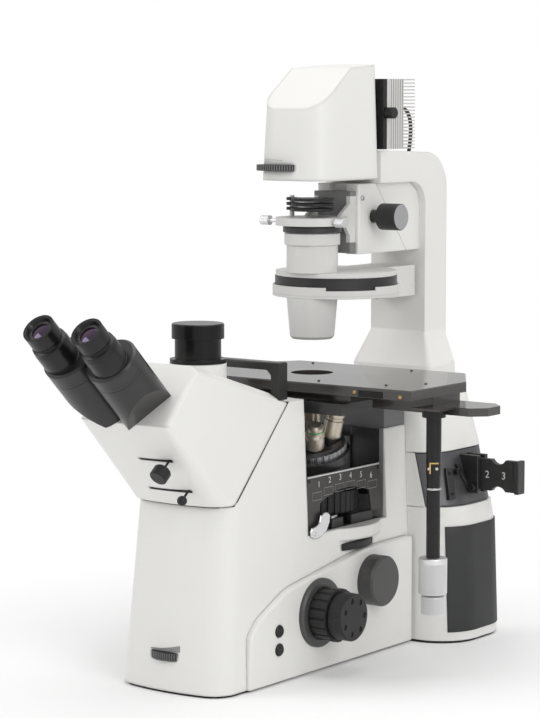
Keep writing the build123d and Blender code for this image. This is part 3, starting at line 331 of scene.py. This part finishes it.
def eye_place(side):
    """Foot of one eyepiece axis, which lies a little outside and below its swivel axis."""
    return Vector((side * 34.5, eye_y, eye_z)) + view_down * eye_drop


up_z, along_x, along_y = (0, 0, 1), (1, 0, 0), (0, 1, 0)
eye_half_gap = 31.0
focus_centre = (0, -99.0, 72.0)
dimmer_foot = (-2.0, -268.0, 38.5)
dial_centre = (-18.0, -30.0, 0)
condenser_knob_centre = (0, 86.0, 536.0)
thumb_screw_centre = (0, -14.0, 532.6)
handle_foot = (211.0, -50.0, 0)

# Painted shade in the joint gap between head and housing, and a painted shadow under the head's front
# overhang: level part, slope and the round corner between them
# Dark grey painted as shade inside gaps, slots, the housing and behind the condenser bracket
inside_shade = (0.030, 0.030, 0.031)
seam_gap_shade = ((-0.0800, -0.3000, 0.21795), (0.0800, -0.2465, 0.21925), inside_shade)
seam_shadow = ((-0.0800, -0.3000, 0.2171), (0.0800, -0.2620, 0.2181), inside_shade)
seam_shade_bands = [band((0, -192.0, 273.0), (0, -0.7071, 0.7071), low, high, 0.0, 103.7, inside_shade)
              for low, high in ((-0.05, 0.05), (1.95, 2.1))]
seam_corner_shade = band((0, -253.6, 234.0), along_x, -67.8, 67.8, 15.5, 16.05, inside_shade)

# Finishes
white, white_two = (0.80, 0.795, 0.77), (0.785, 0.78, 0.755)
# The second grey here is a lighter copy, painted as sheen on the right part of the housing's inner rear
# wall.
grey, rear_sheen_grey, bracket_grey = (0.17, 0.17, 0.172), (0.30, 0.30, 0.30), (0.20, 0.20, 0.20)
painted = {"rough": (0.36, 0.42), "grain": (700.0, 0.06), "coat": 0.1}
warm_white = finish("warm_white_paint", white, white_two, **painted, edge=0.002)
# Painted shade: the two thin slot bands on the head and its joint gap with the housing are painted dark.
head_white = finish("head_white_paint", white, white_two, **painted, edge=0.005,
                    zones=[((-0.0055, -0.37, 0.2758), (0.0415, -0.25, 0.2782), inside_shade),
                           ((-0.0185, -0.37, 0.2368), (0.0420, -0.25, 0.2392), inside_shade), seam_gap_shade],
                    bands=seam_shade_bands)
hood_white = finish("hood_white_paint", white, white_two, **painted, edge=0.006)
# Painted shade: the inside of the housing, the room behind its rear wall and the joint gap are painted
# dark; the rear wall is grey and its right part is painted lighter as a painted sheen.
housing_white = finish("housing_white_paint", white, white_two, **painted, edge=0.004,
                       zones=[((-0.0655, -0.1075, 0.1635), (0.0655, 0.0580, 0.3300), inside_shade),
                              ((-0.0660, 0.0580, 0.1635), (0.0660, 0.0605, 0.2760), grey),
                              ((0.0200, 0.0580, 0.1635), (0.0660, 0.0605, 0.2760), rear_sheen_grey),
                              ((-0.0600, 0.0595, 0.1900), (0.0600, 0.1065, 0.2745), inside_shade),
                              seam_shadow, seam_gap_shade],
                       bands=seam_shade_bands + [seam_corner_shade])
panel_white = finish("panel_white_paint", (0.81, 0.805, 0.78), (0.79, 0.785, 0.76), **painted, edge=0.002)
# Painted shade: the narrow strip behind the condenser bracket plate is painted dark; the bracket itself is
# grey.
light_grey = finish("light_grey_paint", (0.70, 0.695, 0.675), (0.67, 0.665, 0.645), (0.32, 0.40),
                    (800.0, 0.05), coat=0.1,
                    zones=[((-0.0115, 0.0555, 0.4800), (0.0115, 0.0640, 0.5775), inside_shade),
                           ((-0.0215, 0.0415, 0.4900), (0.0215, 0.0550, 0.5775), bracket_grey),
                           ((-0.0280, 0.0415, 0.5620), (0.0280, 0.0550, 0.5775), bracket_grey),
                           ((-0.0280, 0.0415, 0.4900), (0.0280, 0.0550, 0.5050), bracket_grey)],
                    bands=[band((0, 0, 0), up_z, 519.0, 526.7, 30.0, 37.0, (0.03, 0.03, 0.03)),
                           band((0, 0, 0), up_z, 388.0, 389.2, 0.0, 24.0, (0.05, 0.05, 0.06)),
                           band((0, 51.0, 0), up_z, 441.5, 443.4, 78.0, 80.0, (0.62, 0.62, 0.60))])
mid_grey = finish("mid_grey_paint", grey, (0.14, 0.14, 0.142), (0.34, 0.44), (900.0, 0.12))
satin_black = finish("satin_black_paint", (0.022, 0.021, 0.021), (0.017, 0.016, 0.016), (0.30, 0.38),
                     (1200.0, 0.12))
deep_black = finish("deep_black_paint", (0.006, 0.0055, 0.0055), (0.005, 0.0045, 0.0045), (0.20, 0.27),
                    (1200.0, 0.06), specular=0.3)
base_grey = finish("stage_base_paint", (0.030, 0.029, 0.029), (0.025, 0.024, 0.024), (0.32, 0.42),
                   (900.0, 0.12), zones=[((-0.1200, 0.0550, 0.2700), (0.1200, 0.2000, 0.3095), grey)])
stage_black = finish("stage_black_anodised", (0.048, 0.043, 0.040), (0.040, 0.036, 0.034), (0.16, 0.24),
                     (1500.0, 0.05), edge=0.0006, coat=0.4, coat_rough=0.12)
moulded_black = finish("moulded_black", (0.012, 0.012, 0.0125), (0.010, 0.010, 0.0105), (0.36, 0.46),
                       (1300.0, 0.25), specular=0.4)
wheel_black = finish("wheel_black", (0.020, 0.020, 0.021), (0.016, 0.016, 0.017), (0.40, 0.50),
                     (1300.0, 0.2),
                     bands=[band(dimmer_foot, up_z, 0.4, 8.6, 27.0, 29.0, (0.16, 0.16, 0.16), kind="Ridges",
                                 count=60.0, depth=0.25)])
dial_black = finish("dial_black", (0.018, 0.018, 0.019), (0.015, 0.015, 0.016), (0.40, 0.50), (1300.0, 0.2),
                    bands=[band(dial_centre, up_z, 594.0, 603.0, 34.0, 37.0, (0.20, 0.20, 0.20),
                                kind="Ridges", count=70.0, depth=0.3)])
knob_black = finish("condenser_knob_black", (0.020, 0.020, 0.021), (0.016, 0.016, 0.017), (0.36, 0.46),
                    (1300.0, 0.2),
                    bands=[band(condenser_knob_centre, along_x, 73.4, 75.0, 0.0, 15.6, (0.34, 0.34, 0.35)),
                           band(condenser_knob_centre, along_x, 48.0, 72.6, 16.0, 17.0, count=80.0,
                                depth=0.15)])
plate_black = finish("plate_black", (0.040, 0.036, 0.034), (0.034, 0.031, 0.030), (0.34, 0.42),
                     (1400.0, 0.2))
focus_black = finish("focus_knob_black", (0.016, 0.016, 0.0165), (0.013, 0.013, 0.0135), (0.38, 0.48),
                     (1300.0, 0.25), specular=0.4,
                     bands=[band(focus_centre, along_x, 113.6, 132.0, 28.0, 29.0, count=110.0, depth=0.12)])
cap_grey = finish("cap_grey", (0.068, 0.067, 0.066), (0.060, 0.059, 0.058), (0.38, 0.46), (1100.0, 0.15))
rubber_black = finish("rubber_black", (0.012, 0.012, 0.012), (0.016, 0.016, 0.016), (0.65, 0.80),
                      (1600.0, 0.5))
ring_metal = finish("brushed_dark_metal", (0.13, 0.13, 0.135), (0.10, 0.10, 0.105), (0.30, 0.42),
                    (1500.0, 0.15), metallic=0.6, edge=0.002)
slider_metal = finish("slider_dark_metal", (0.032, 0.031, 0.031), (0.026, 0.025, 0.025), (0.34, 0.44),
                      (1500.0, 0.15))
bare_aluminium = finish("bare_aluminium", (0.76, 0.76, 0.76), (0.70, 0.70, 0.71), (0.30, 0.42),
                        (1800.0, 0.25), metallic=0.85,
                        bands=[band(handle_foot, up_z, 80.0, 98.5, 13.0, 15.0, count=110.0, depth=0.15),
                               band(handle_foot, up_z, 104.0, 139.0, 16.0, 17.5, count=130.0, depth=0.15)])
bright_steel = finish("bright_steel", (0.72, 0.72, 0.72), (0.64, 0.64, 0.65), (0.14, 0.22), (1500.0, 0.08),
                      metallic=1.0)
screw_metal = finish("thumb_screw_metal", (0.78, 0.78, 0.78), (0.72, 0.72, 0.73), (0.30, 0.40),
                     (1800.0, 0.2), metallic=0.8,
                     bands=[band(thumb_screw_centre, along_x, low, high, 5.0, 7.0, count=48.0, depth=0.06)
                            for low, high in ((46.5, 57.0), (-65.0, -54.5))])
brass = finish("bare_brass", (0.62, 0.44, 0.16), (0.56, 0.39, 0.14), (0.22, 0.32), (1500.0, 0.1),
               metallic=1.0)
cream, cream_two = (0.62, 0.56, 0.46), (0.58, 0.52, 0.43)
polished = {"rough": (0.24, 0.32), "grain": (1500.0, 0.08), "metallic": 0.6}
cream_metal = finish("cream_metal", cream, cream_two, **polished,
                     bands=[band((0, 0, 0), up_z, 306.5, 309.0, 0.0, 15.0, (0.80, 0.62, 0.02), metal=0.0)])
green_metal = finish("ringed_cream_metal", cream, cream_two, **polished,
                     bands=[band(nose_foot, nose_axis, 33.0, 35.0, 20.0, 70.0, (0.05, 0.35, 0.10),
                                 metal=0.0)])
nose_black = finish("nosepiece_black", (0.030, 0.029, 0.029), (0.024, 0.023, 0.023), (0.26, 0.36),
                    (1200.0, 0.1),
                    bands=[band(nose_foot, nose_axis, -3.8, 4.05, 47.0, 52.0, (0.30, 0.30, 0.31), metal=1.0,
                                count=110.0, depth=0.2),
                           band(nose_foot, nose_axis, 3.9, 4.2, 46.2, 52.0, (0.40, 0.40, 0.41), metal=1.0)])
deepest, deepest_two = (0.008, 0.008, 0.008), (0.006, 0.006, 0.006)
handle_black = finish("handle_black", deepest, deepest_two, (0.22, 0.30), (1200.0, 0.06), specular=0.35,
                      bands=[band(handle_foot, up_z, 226.2, 228.8, 8.0, 10.0, (0.55, 0.55, 0.55),
                                  metal=1.0)])
# The thin dark band at station 79 on each tube is a painted groove shade.
tube_black = finish("tube_black", (0.024, 0.023, 0.023), (0.019, 0.018, 0.018), (0.30, 0.38),
                    (1200.0, 0.12),
                    bands=[band((side * eye_half_gap, eye_y, eye_z), view_up, 79.0, 79.7, 29.0, 31.0,
                                (0.002, 0.002, 0.002)) for side in (1, -1)])
lamp_metal = finish("lamp_metal", (0.74, 0.73, 0.71), (0.70, 0.69, 0.67), (0.32, 0.42), (1500.0, 0.2),
                    metallic=0.55,
                    zones=[((-0.1, 0.0, 0.6), (0.1, 0.0960, 0.75), (0.02, 0.02, 0.022))],
                    bands=[band((0, 0, 0), along_y, 106.0, 138.0, 600.0, 720.0, (0.16, 0.16, 0.16),
                                kind="Lines", pitch=5.0, share=0.2, depth=0.5)])
eye_black = finish("eyecup_black", deepest, deepest_two, (0.26, 0.34), (1400.0, 0.1), specular=0.35)
print_and_shade_grey = finish("printed_and_shade_grey", (0.30, 0.30, 0.30), (0.26, 0.26, 0.26), (0.5, 0.6), (900.0, 0.02))
print_white = finish("printed_white", (0.78, 0.78, 0.77), (0.74, 0.74, 0.73), (0.5, 0.6), (900.0, 0.02))
skin_grey = finish("grip_skin_grey", (0.026, 0.0265, 0.028), (0.022, 0.0225, 0.024), (0.50, 0.60),
                   (1200.0, 0.35))


def lens_coating():
    """Dark eye lens with a violet bloom on its surface."""
    material = finish("coated_lens", (0.020, 0.012, 0.010), (0.050, 0.030, 0.018), (0.04, 0.06),
                      (300.0, 0.0), mottle=60.0, coat=1.0, coat_rough=0.03)
    shader = material.node_tree.nodes["Principled BSDF"]
    shader.inputs["Coat Tint"].default_value = (0.55, 0.35, 0.80, 1)
    shader.inputs["Specular Tint"].default_value = (0.60, 0.35, 0.90, 1)
    return material


lens_violet = lens_coating()

node_finish = {
    warm_white: ["tower_lower", "tower_upper", "illumination_arm", "condenser_block"],
    hood_white: ["lamp_hood"],
    head_white: ["head_housing"],
    housing_white: ["main_housing"],
    panel_white: ["side_panels"],
    light_grey: ["condenser_bracket", "condenser_barrel", "condenser_housing", "front_lens"],
    mid_grey: ["nosepiece_carrier"],
    base_grey: ["stage_base"],
    satin_black: ["eyepiece_bases", "stage_guard", "condenser_turret"],
    deep_black: ["photo_tube", "photo_cap"],
    tube_black: ["right_eyepiece_tube", "left_eyepiece_tube"],
    handle_black: ["stage_handle"],
    nose_black: ["revolving_nosepiece"],
    stage_black: ["stage_plate", "stage_carriage", "stage_insert"],
    moulded_black: ["light_path_knob", "lamp_clamp_knob", "port_lever", "magnification_wheel",
                    "filter_turret", "push_button_lower", "push_button_upper", "filter_lower",
                    "filter_middle", "filter_upper"],
    wheel_black: ["brightness_wheel"],
    focus_black: ["coarse_knobs", "fine_knobs"],
    dial_black: ["field_dial"],
    knob_black: ["condenser_focus_knob"],
    plate_black: ["number_plate"],
    cap_grey: ["side_fittings"],
    rubber_black: ["base_pad"],
    ring_metal: ["illuminator_ring"],
    slider_metal: ["fluorescence_slider"],
    bare_aluminium: ["handle_upper_knob", "handle_lower_knob"],
    bright_steel: ["turret_post"],
    screw_metal: ["centring_screw_right", "centring_screw_left"],
    cream_metal: ["objectives_long"],
    green_metal: ["objectives_short"],
    lamp_metal: ["lamp_house"],
    eye_black: ["right_eyepiece", "left_eyepiece"],
}
for material, names in node_finish.items():
    for name in names:
        mesh = nodes[name].data
        mesh.materials.clear()
        mesh.materials.append(material)
lead.data.materials.append(rubber_black)


def piece_from(name, work, material, body, smooth=35.0):
    """Finish a mesh under construction as a piece that rides on a body."""
    bmesh.ops.recalc_face_normals(work, faces=work.faces)
    mesh = bpy.data.meshes.new(name)
    work.to_mesh(mesh)
    work.free()
    mesh.polygons.foreach_set("use_smooth", [True] * len(mesh.polygons))
    mesh.set_sharp_from_angle(angle=radians(smooth))
    mesh.materials.append(material)
    piece = bpy.data.objects.new(name, mesh)
    bpy.context.collection.objects.link(piece)
    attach(piece, body)
    return piece


def plates(name, outlines, origin, across, up, thick, material, body, bevel=0.0):
    """Flat plates: outlines in millimetres across two directions, raised along their cross product."""
    x, y = Vector(across).normalized(), Vector(up).normalized()
    z = x.cross(y)
    base = Vector(origin)
    work = bmesh.new()
    for outline in outlines:
        low = [work.verts.new((base + x * a + y * b) * mm) for a, b in outline]
        high = [work.verts.new((base + x * a + y * b + z * thick) * mm) for a, b in outline]
        work.faces.new(low[::-1])
        work.faces.new(high)
        for index, corner in enumerate(low):
            after = (index + 1) % len(low)
            work.faces.new((corner, low[after], high[after], high[index]))
    piece = piece_from(name, work, material, body)
    if bevel > 0.0:
        edge = piece.modifiers.new("soft_edges", "BEVEL")
        edge.width = bevel * mm
        edge.segments = 2
        edge.limit_method = "ANGLE"
    return piece


def box_outline(left, low, right, high):
    return [(left, low), (right, low), (right, high), (left, high)]


def spun(name, profile, origin, axis, material, body, steps=40):
    """Turned piece: (radius, station) pairs in millimetres along an axis."""
    along = Vector(axis).normalized()
    across = along.orthogonal().normalized()
    up = along.cross(across)
    base = Vector(origin)
    work = bmesh.new()
    rows = []
    for radius, station in profile:
        count = steps if radius > 0.0 else 1
        centre = base + along * station
        angles = [2 * pi * turn / steps for turn in range(count)]
        rows.append([work.verts.new((centre + across * radius * cos(angle) + up * radius * sin(angle)) * mm)
                     for angle in angles])
    for lower, upper in zip(rows, rows[1:]):
        for turn in range(steps):
            after = turn + 1
            corners = [lower[turn % len(lower)], lower[after % len(lower)], upper[after % len(upper)],
                       upper[turn % len(upper)]]
            corners = list(dict.fromkeys(corners))
            if len(corners) > 2:
                work.faces.new(corners)
    return piece_from(name, work, material, body)


def socket_screw(name, place, axis, radius, material, body):
    """Domed screw head with a round socket."""
    return spun(name, [(radius, 0.0), (radius, 0.45 * radius), (0.8 * radius, 0.75 * radius),
                       (0.45 * radius, 0.8 * radius), (0.42 * radius, 0.3 * radius), (0.0, 0.25 * radius)],
                place, axis, material, body, 24)


def digit(name, text, place, size, turn, material, body):
    """One plain printed number."""
    curve = bpy.data.curves.new(name, "FONT")
    curve.body = text
    curve.size = size * mm
    curve.extrude = 0.05 * mm
    curve.align_x = "CENTER"
    curve.align_y = "CENTER"
    curve.materials.append(material)
    piece = bpy.data.objects.new(name, curve)
    bpy.context.collection.objects.link(piece)
    piece.location = Vector(place) * mm
    piece.rotation_euler = [radians(angle) for angle in turn]
    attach(piece, body)
    return piece


# Number plate: silver top edge, six numbers, their marks and two screws
facing_right = (90.0, 0.0, 90.0)
plates("plate_edge", [box_outline(-106.0, 232.4, 45.6, 234.4)], (66.8, 0, 0), along_y, up_z, 3.0,
       bare_aluminium, "stand", 0.3)
number_places = [(-82.5, 225.2), (-60.1, 228.0), (-38.0, 228.4), (-16.3, 228.0), (6.3, 226.4),
                 (28.1, 223.1)]
mark_places = [(-86.5, 213.0), (-62.6, 216.5), (-39.5, 217.8), (-17.0, 218.0), (6.9, 216.0), (30.6, 212.9)]
marks = []
for index, (depth, height) in enumerate(number_places):
    digit("plate_number_%d" % (index + 1), str(index + 1), (69.55, depth, height - 2.2), 10.5, facing_right,
          print_white, "stand")
for depth, height in mark_places:
    for rise in (-6.6, 2.6):
        marks.append(box_outline(depth - 9.5, height + rise - 2.0, depth + 9.5, height + rise - 1.3))
    for side in (-9.5, 9.1):
        marks.append(box_outline(depth + side, height - 8.2, depth + side + 0.35, height + 1.0))
plates("plate_marks", marks, (69.5, 0, 0), along_y, up_z, 0.1, print_and_shade_grey, "stand")
for label, depth in (("front", -103.0), ("rear", 42.5)):
    socket_screw("plate_screw_" + label, (69.4, depth, 229.0), along_x, 2.2, satin_black, "stand")

# Shutter lever and the black blocks behind the arch of the plate
lever_outline = [(-107.0, 169.0), (-103.7, 173.9), (-95.1, 175.4), (-88.3, 179.0), (-86.5, 186.0),
                 (-80.3, 189.4), (-70.3, 188.4), (-66.4, 184.2), (-67.8, 176.1), (-73.4, 166.9),
                 (-82.7, 160.9), (-95.1, 159.1), (-104.3, 161.4)]
plates("shutter_lever", [lever_outline], (72.4, 0, 0), along_y, up_z, 3.0, bright_steel, "stand",
       1.2)
spun("shutter_pivot", [(0.0, -3.0), (2.6, -3.0), (2.6, 3.6), (1.8, 4.2), (0.0, 4.2)],
     (72.0, -99.0, 166.0), along_x, bare_aluminium, "stand", 24)
plates("turret_catch_large", [box_outline(-8.0, 164.0, 39.0, 176.5)], (60.2, 0, 0), along_y, up_z, 5.0,
       satin_black, "stand", 0.8)
plates("turret_catch_small", [box_outline(-49.0, 164.0, -25.0, 176.0)], (60.2, 0, 0), along_y, up_z, 5.0,
       satin_black, "stand", 0.8)
spun("turret_catch_pin", [(0.0, 0.0), (2.0, 0.0), (2.0, 11.0), (1.5, 12.0), (0.0, 12.0)],
     (65.0, -52.0, 178.0), (0.0, 1.0, 0.1), bright_steel, "stand", 20)

# Eye lenses with their retaining rings
for label, side in (("right", 1), ("left", -1)):
    eye = eye_place(side)
    spun(label + "_eye_lens", [(0.0, 146.4), (4.0, 146.2), (8.0, 145.5), (11.4, 144.4), (11.4, 143.0)], eye,
         view_up, lens_violet, label + "_eyepiece", 48)
    spun(label + "_lens_ring", [(10.6, 144.1), (10.6, 145.6), (12.6, 146.0), (13.6, 145.6)], eye, view_up,
         satin_black, label + "_eyepiece", 48)

# Screws of the stage, and the bracket of the drop handle
stage_screws = {"a": (150.0, -60.0), "b": (180.0, -20.0), "c": (-60.0, 86.0), "d": (90.0, 86.0),
                "e": (60.0, -70.0), "f": (-110.0, -60.0)}
for label, place in stage_screws.items():
    socket_screw("stage_screw_" + label, (*place, 345.95), up_z, 1.8, stage_black, "stage_plate")
for label, place in (("left", (128.0, -92.9, 339.5)), ("right", (192.0, -92.9, 338.0))):
    socket_screw("stage_edge_screw_" + label, place, (0, -1, 0), 2.2, brass, "stage_plate")
# A thin black sheet stands for the recess in the stage edge: painted shade.
plates("stage_edge_recess_shade", [box_outline(133.0, 334.6, 168.0, 342.4)], (0, -92.95, 0), along_x, up_z, 0.2,
       deep_black, "stage_plate")
camera_side = Vector((0.581, -0.814, 0.0))
sideways = Vector((0.814, 0.581, 0.0))
bracket_outline = [(-5.5, 246.0), (-3.7, 246.0), (-3.7, 257.6), (5.5, 257.6), (5.5, 259.4), (-5.5, 259.4)]
plates("handle_bracket", [bracket_outline], Vector(handle_foot) + camera_side * 8.9, sideways, up_z, 0.8,
       brass, "stage_carriage", 0.2)
for label, turn in (("left", -6.0), ("right", 3.2)):
    screw_place = Vector((*handle_foot[:2], 252.0)) + camera_side * 8.2 + sideways * turn
    socket_screw("handle_screw_" + label, screw_place, camera_side, 1.9, bright_steel, "stage_carriage")

# Front of the illuminator ring, its lever, lock and slider holder
for label, side in (("right", 1), ("left", -1)):
    cover = [(side * 66.5, 172.6), (side * 97.5, 172.6), (side * 81.0, 240.1), (side * 66.5, 240.1)]
    plates("ring_front_cover_" + label, [cover if side > 0 else cover[::-1]], (0, 108.3, 0), along_x, up_z,
           1.3, warm_white, "stand", 0.2)
ring_up = (-0.264, 0, 0.9645)
plates("ring_lever", [[(151.0, 51.6), (157.5, 51.6), (171.5, 18.5), (165.0, 18.5)]], (126.0, 0, 173.2),
       along_y, ring_up, 4.5, satin_black, "stand", 0.8)
corner_across, corner_up = (0.44, 0.90, 0), (-0.238, 0.116, 0.9645)
corner_out = Vector((0.868, -0.424, 0.265))
corner = Vector((113.9, 136.1, 200.0))
plates("ring_lock_block", [box_outline(-4.8, -20.0, 4.8, 20.0)], corner - corner_out * 2.0, corner_across,
       corner_up, 8.0, satin_black, "stand", 0.8)
for label, rise in (("top", 13.0), ("bottom", -13.0)):
    screw_place = corner + corner_out * 5.9 + Vector(corner_up) * rise
    socket_screw("ring_lock_screw_" + label, screw_place, corner_out, 2.0, moulded_black, "stand")
spun("ring_lock_knob", [(0.0, 0.0), (2.0, 0.0), (2.0, 4.0), (4.4, 4.0), (4.4, 9.0), (3.8, 9.6), (0.0, 9.6)],
     (113.5, 149.0, 214.5), (0.98, -0.18, 0.1), moulded_black, "stand", 28)
for name, depth, thick in (("slider_holder", 175.5, 7.5), ("slider_holder_rear", 192.0, 7.0)):
    plates(name, [box_outline(108.0, 186.0, 137.0, 234.0)], (0, depth, 0), along_x, up_z, thick,
           satin_black, "stand", 1.0)
spun("slider_lock_knob",
     [(0.0, 0.0), (2.0, 0.0), (2.0, 2.0), (4.4, 2.0), (4.4, 6.0), (3.8, 6.6), (0.0, 6.6)],
     (131.0, 168.2, 194.0), (0, -1, 0), moulded_black, "stand", 28)
plates("slider_end", [box_outline(171.0, 189.0, 187.0, 231.0)], (188.0, 0, 0), along_y, up_z, 6.5,
       slider_metal, "fluorescence_slider", 1.0)
for number, place in (("2", 146.0), ("3", 170.0)):
    digit("slider_number_" + number, number, (place, 175.92, 210.0), 13.0, (90.0, 0, 0), print_white,
          "fluorescence_slider")

# Printed wedge above the dial, a painted shadow line along the seam of the condenser block, and its screw
plates("dial_wedge", [[(-33.0, 606.0), (-32.6, 606.0), (-32.6, 609.2), (-33.0, 609.2)],
                      [(-33.0, 609.2), (-33.0, 608.9), (-7.0, 607.5), (-7.0, 607.7)],
                      [(-33.0, 606.0), (-7.0, 607.4), (-7.0, 607.6), (-33.0, 606.3)]],
       (0, -51.9, 0), along_x, up_z, 0.15, print_and_shade_grey, "arm")
# The seam sheets are painted shadow lines in the printed grey.
for label, face in (("right", 32.0), ("left", -32.1)):
    plates("block_seam_shadow_" + label, [[(91.2, 577.0), (91.8, 577.0), (160.5, 490.0), (159.9, 490.0)]],
           (face, 0, 0), along_y, up_z, 0.1, print_and_shade_grey, "arm")
socket_screw("block_screw", (31.8, 61.0, 559.5), along_x, 3.4, bright_steel, "arm")


# Printed wedge over the brightness wheel, on the bowed front
wedge_path = [(-23.0, -288.25, 49.6), (-8.0, -289.15, 49.4), (7.0, -289.0, 50.9), (20.0, -288.1, 52.8)]
wedge_tip, wedge_growth = 0.5, 1.1
for index, (start, end) in enumerate(zip(wedge_path, wedge_path[1:])):
    along = Vector(end) - Vector(start)
    along.z = 0.0
    low, high = wedge_tip + wedge_growth * index, wedge_tip + wedge_growth * (index + 1)
    rise = end[2] - start[2]
    plates("brightness_wedge_%d" % (index + 1),
           [[(0.0, -low), (along.length, rise - high), (along.length, rise + high), (0.0, low)]],
           Vector(start), along, up_z, 0.3, print_and_shade_grey, "stand")


def tower_skin():
    """Dark grip skin that wraps the right side of the tower foot, which leans in a little."""
    skin_low, skin_rise, steps = 14.0, 134.0, 12
    foot_width, foot_level, lean_in, lean_rise = 141.0, 3.0, 5.5, 142.0
    corner_r, skin_r = 55.0, 55.6
    front_corner, rear_corner = 162.0, 195.0
    work = bmesh.new()
    rows = []
    for step in range(steps + 1):
        height = skin_low + skin_rise * step / steps
        width = foot_width - lean_in * (height - foot_level) / lean_rise
        row = []
        for turn in range(-47, 48, 5):
            angle = radians(turn)
            depth = front_corner if turn < 0 else rear_corner
            row.append((width - corner_r + skin_r * cos(angle), depth + skin_r * sin(angle)))
        rows.append([work.verts.new((x * mm, y * mm, height * mm)) for x, y in row])
    for lower, upper in zip(rows, rows[1:]):
        for index in range(len(lower) - 1):
            work.faces.new((lower[index], lower[index + 1], upper[index + 1], upper[index]))
    piece = piece_from("tower_grip_skin", work, skin_grey, "stand")
    thick = piece.modifiers.new("thickness", "SOLIDIFY")
    thick.thickness = 1.4 * mm
    thick.offset = 0.0
    edge = piece.modifiers.new("soft_edges", "BEVEL")
    edge.width = 0.4 * mm
    edge.segments = 2
    return piece


tower_skin()


def floor():
    """Pale floor that keeps the shadow near the object and turns white further out."""
    floor_half, fade_start, fade_end = 8, 0.25, 0.60
    mesh = bpy.data.meshes.new("floor")
    work = bmesh.new()
    corners = [work.verts.new((x * floor_half, y * floor_half, 0))
               for x, y in ((-1, -1), (1, -1), (1, 1), (-1, 1))]
    work.faces.new(corners)
    work.to_mesh(mesh)
    work.free()
    ground = bpy.data.objects.new("floor", mesh)
    bpy.context.collection.objects.link(ground)
    material = bpy.data.materials.new("pale_floor")
    material.use_nodes = True
    tree = material.node_tree
    shader = tree.nodes["Principled BSDF"]
    shader.inputs["Base Color"].default_value = (0.95, 0.95, 0.95, 1)
    shader.inputs["Roughness"].default_value = 0.8
    place = tree.nodes.new("ShaderNodeTexCoord")
    reach = tree.nodes.new("ShaderNodeVectorMath")
    reach.operation = "LENGTH"
    tree.links.new(place.outputs["Object"], reach.inputs[0])
    far = map_range(tree, reach.outputs["Value"], fade_start, fade_end, 0.0, 1.0)
    path = tree.nodes.new("ShaderNodeLightPath")
    share = scalar(tree, "MULTIPLY", far, path.outputs["Is Camera Ray"])
    glow = tree.nodes.new("ShaderNodeEmission")
    glow.inputs["Color"].default_value = (1, 1, 1, 1)
    both = tree.nodes.new("ShaderNodeMixShader")
    tree.links.new(share, both.inputs[0])
    tree.links.new(shader.outputs[0], both.inputs[1])
    tree.links.new(glow.outputs[0], both.inputs[2])
    tree.links.new(both.outputs[0], tree.nodes["Material Output"].inputs["Surface"])
    mesh.materials.append(material)


floor()


def area_lamp(name, place, target, size, power):
    """Soft lamp that looks at a point."""
    data = bpy.data.lights.new(name, "AREA")
    data.shape = "RECTANGLE"
    data.size, data.size_y = size
    data.energy = power
    lamp = bpy.data.objects.new(name, data)
    bpy.context.collection.objects.link(lamp)
    lamp.location = place
    lamp.rotation_euler = (Vector(target) - Vector(place)).to_track_quat("-Z", "Y").to_euler()
    return lamp


middle, lower_middle = (0, 0, 0.35), (0, 0, 0.3)
area_lamp("key_left", (-2.2, -2.4, 2.2), middle, (1.8, 1.8), 33.0)
area_lamp("fill_right", (2.6, -1.2, 1.6), middle, (1.6, 1.6), 30.0)
area_lamp("top_soft", (0.2, 0.4, 2.8), lower_middle, (2.4, 2.4), 35.0)


def studio_world():
    """Soft white surround, brightest to the camera and a little brighter in reflections."""
    ambient, seen_by_camera, reflected_share = 0.5, 1.0, 0.4
    world = bpy.data.worlds.new("studio")
    world.use_nodes = True
    bpy.context.scene.world = world
    tree = world.node_tree
    back = tree.nodes["Background"]
    back.inputs["Color"].default_value = (1, 1, 1, 1)
    path = tree.nodes.new("ShaderNodeLightPath")
    shine = scalar(tree, "MULTIPLY", path.outputs["Is Glossy Ray"], reflected_share)
    seen = scalar(tree, "MAXIMUM", path.outputs["Is Camera Ray"], shine)
    tree.links.new(map_range(tree, seen, 0.0, 1.0, ambient, seen_by_camera), back.inputs["Strength"])


studio_world()
bpy.context.scene.view_settings.view_transform = "Standard"
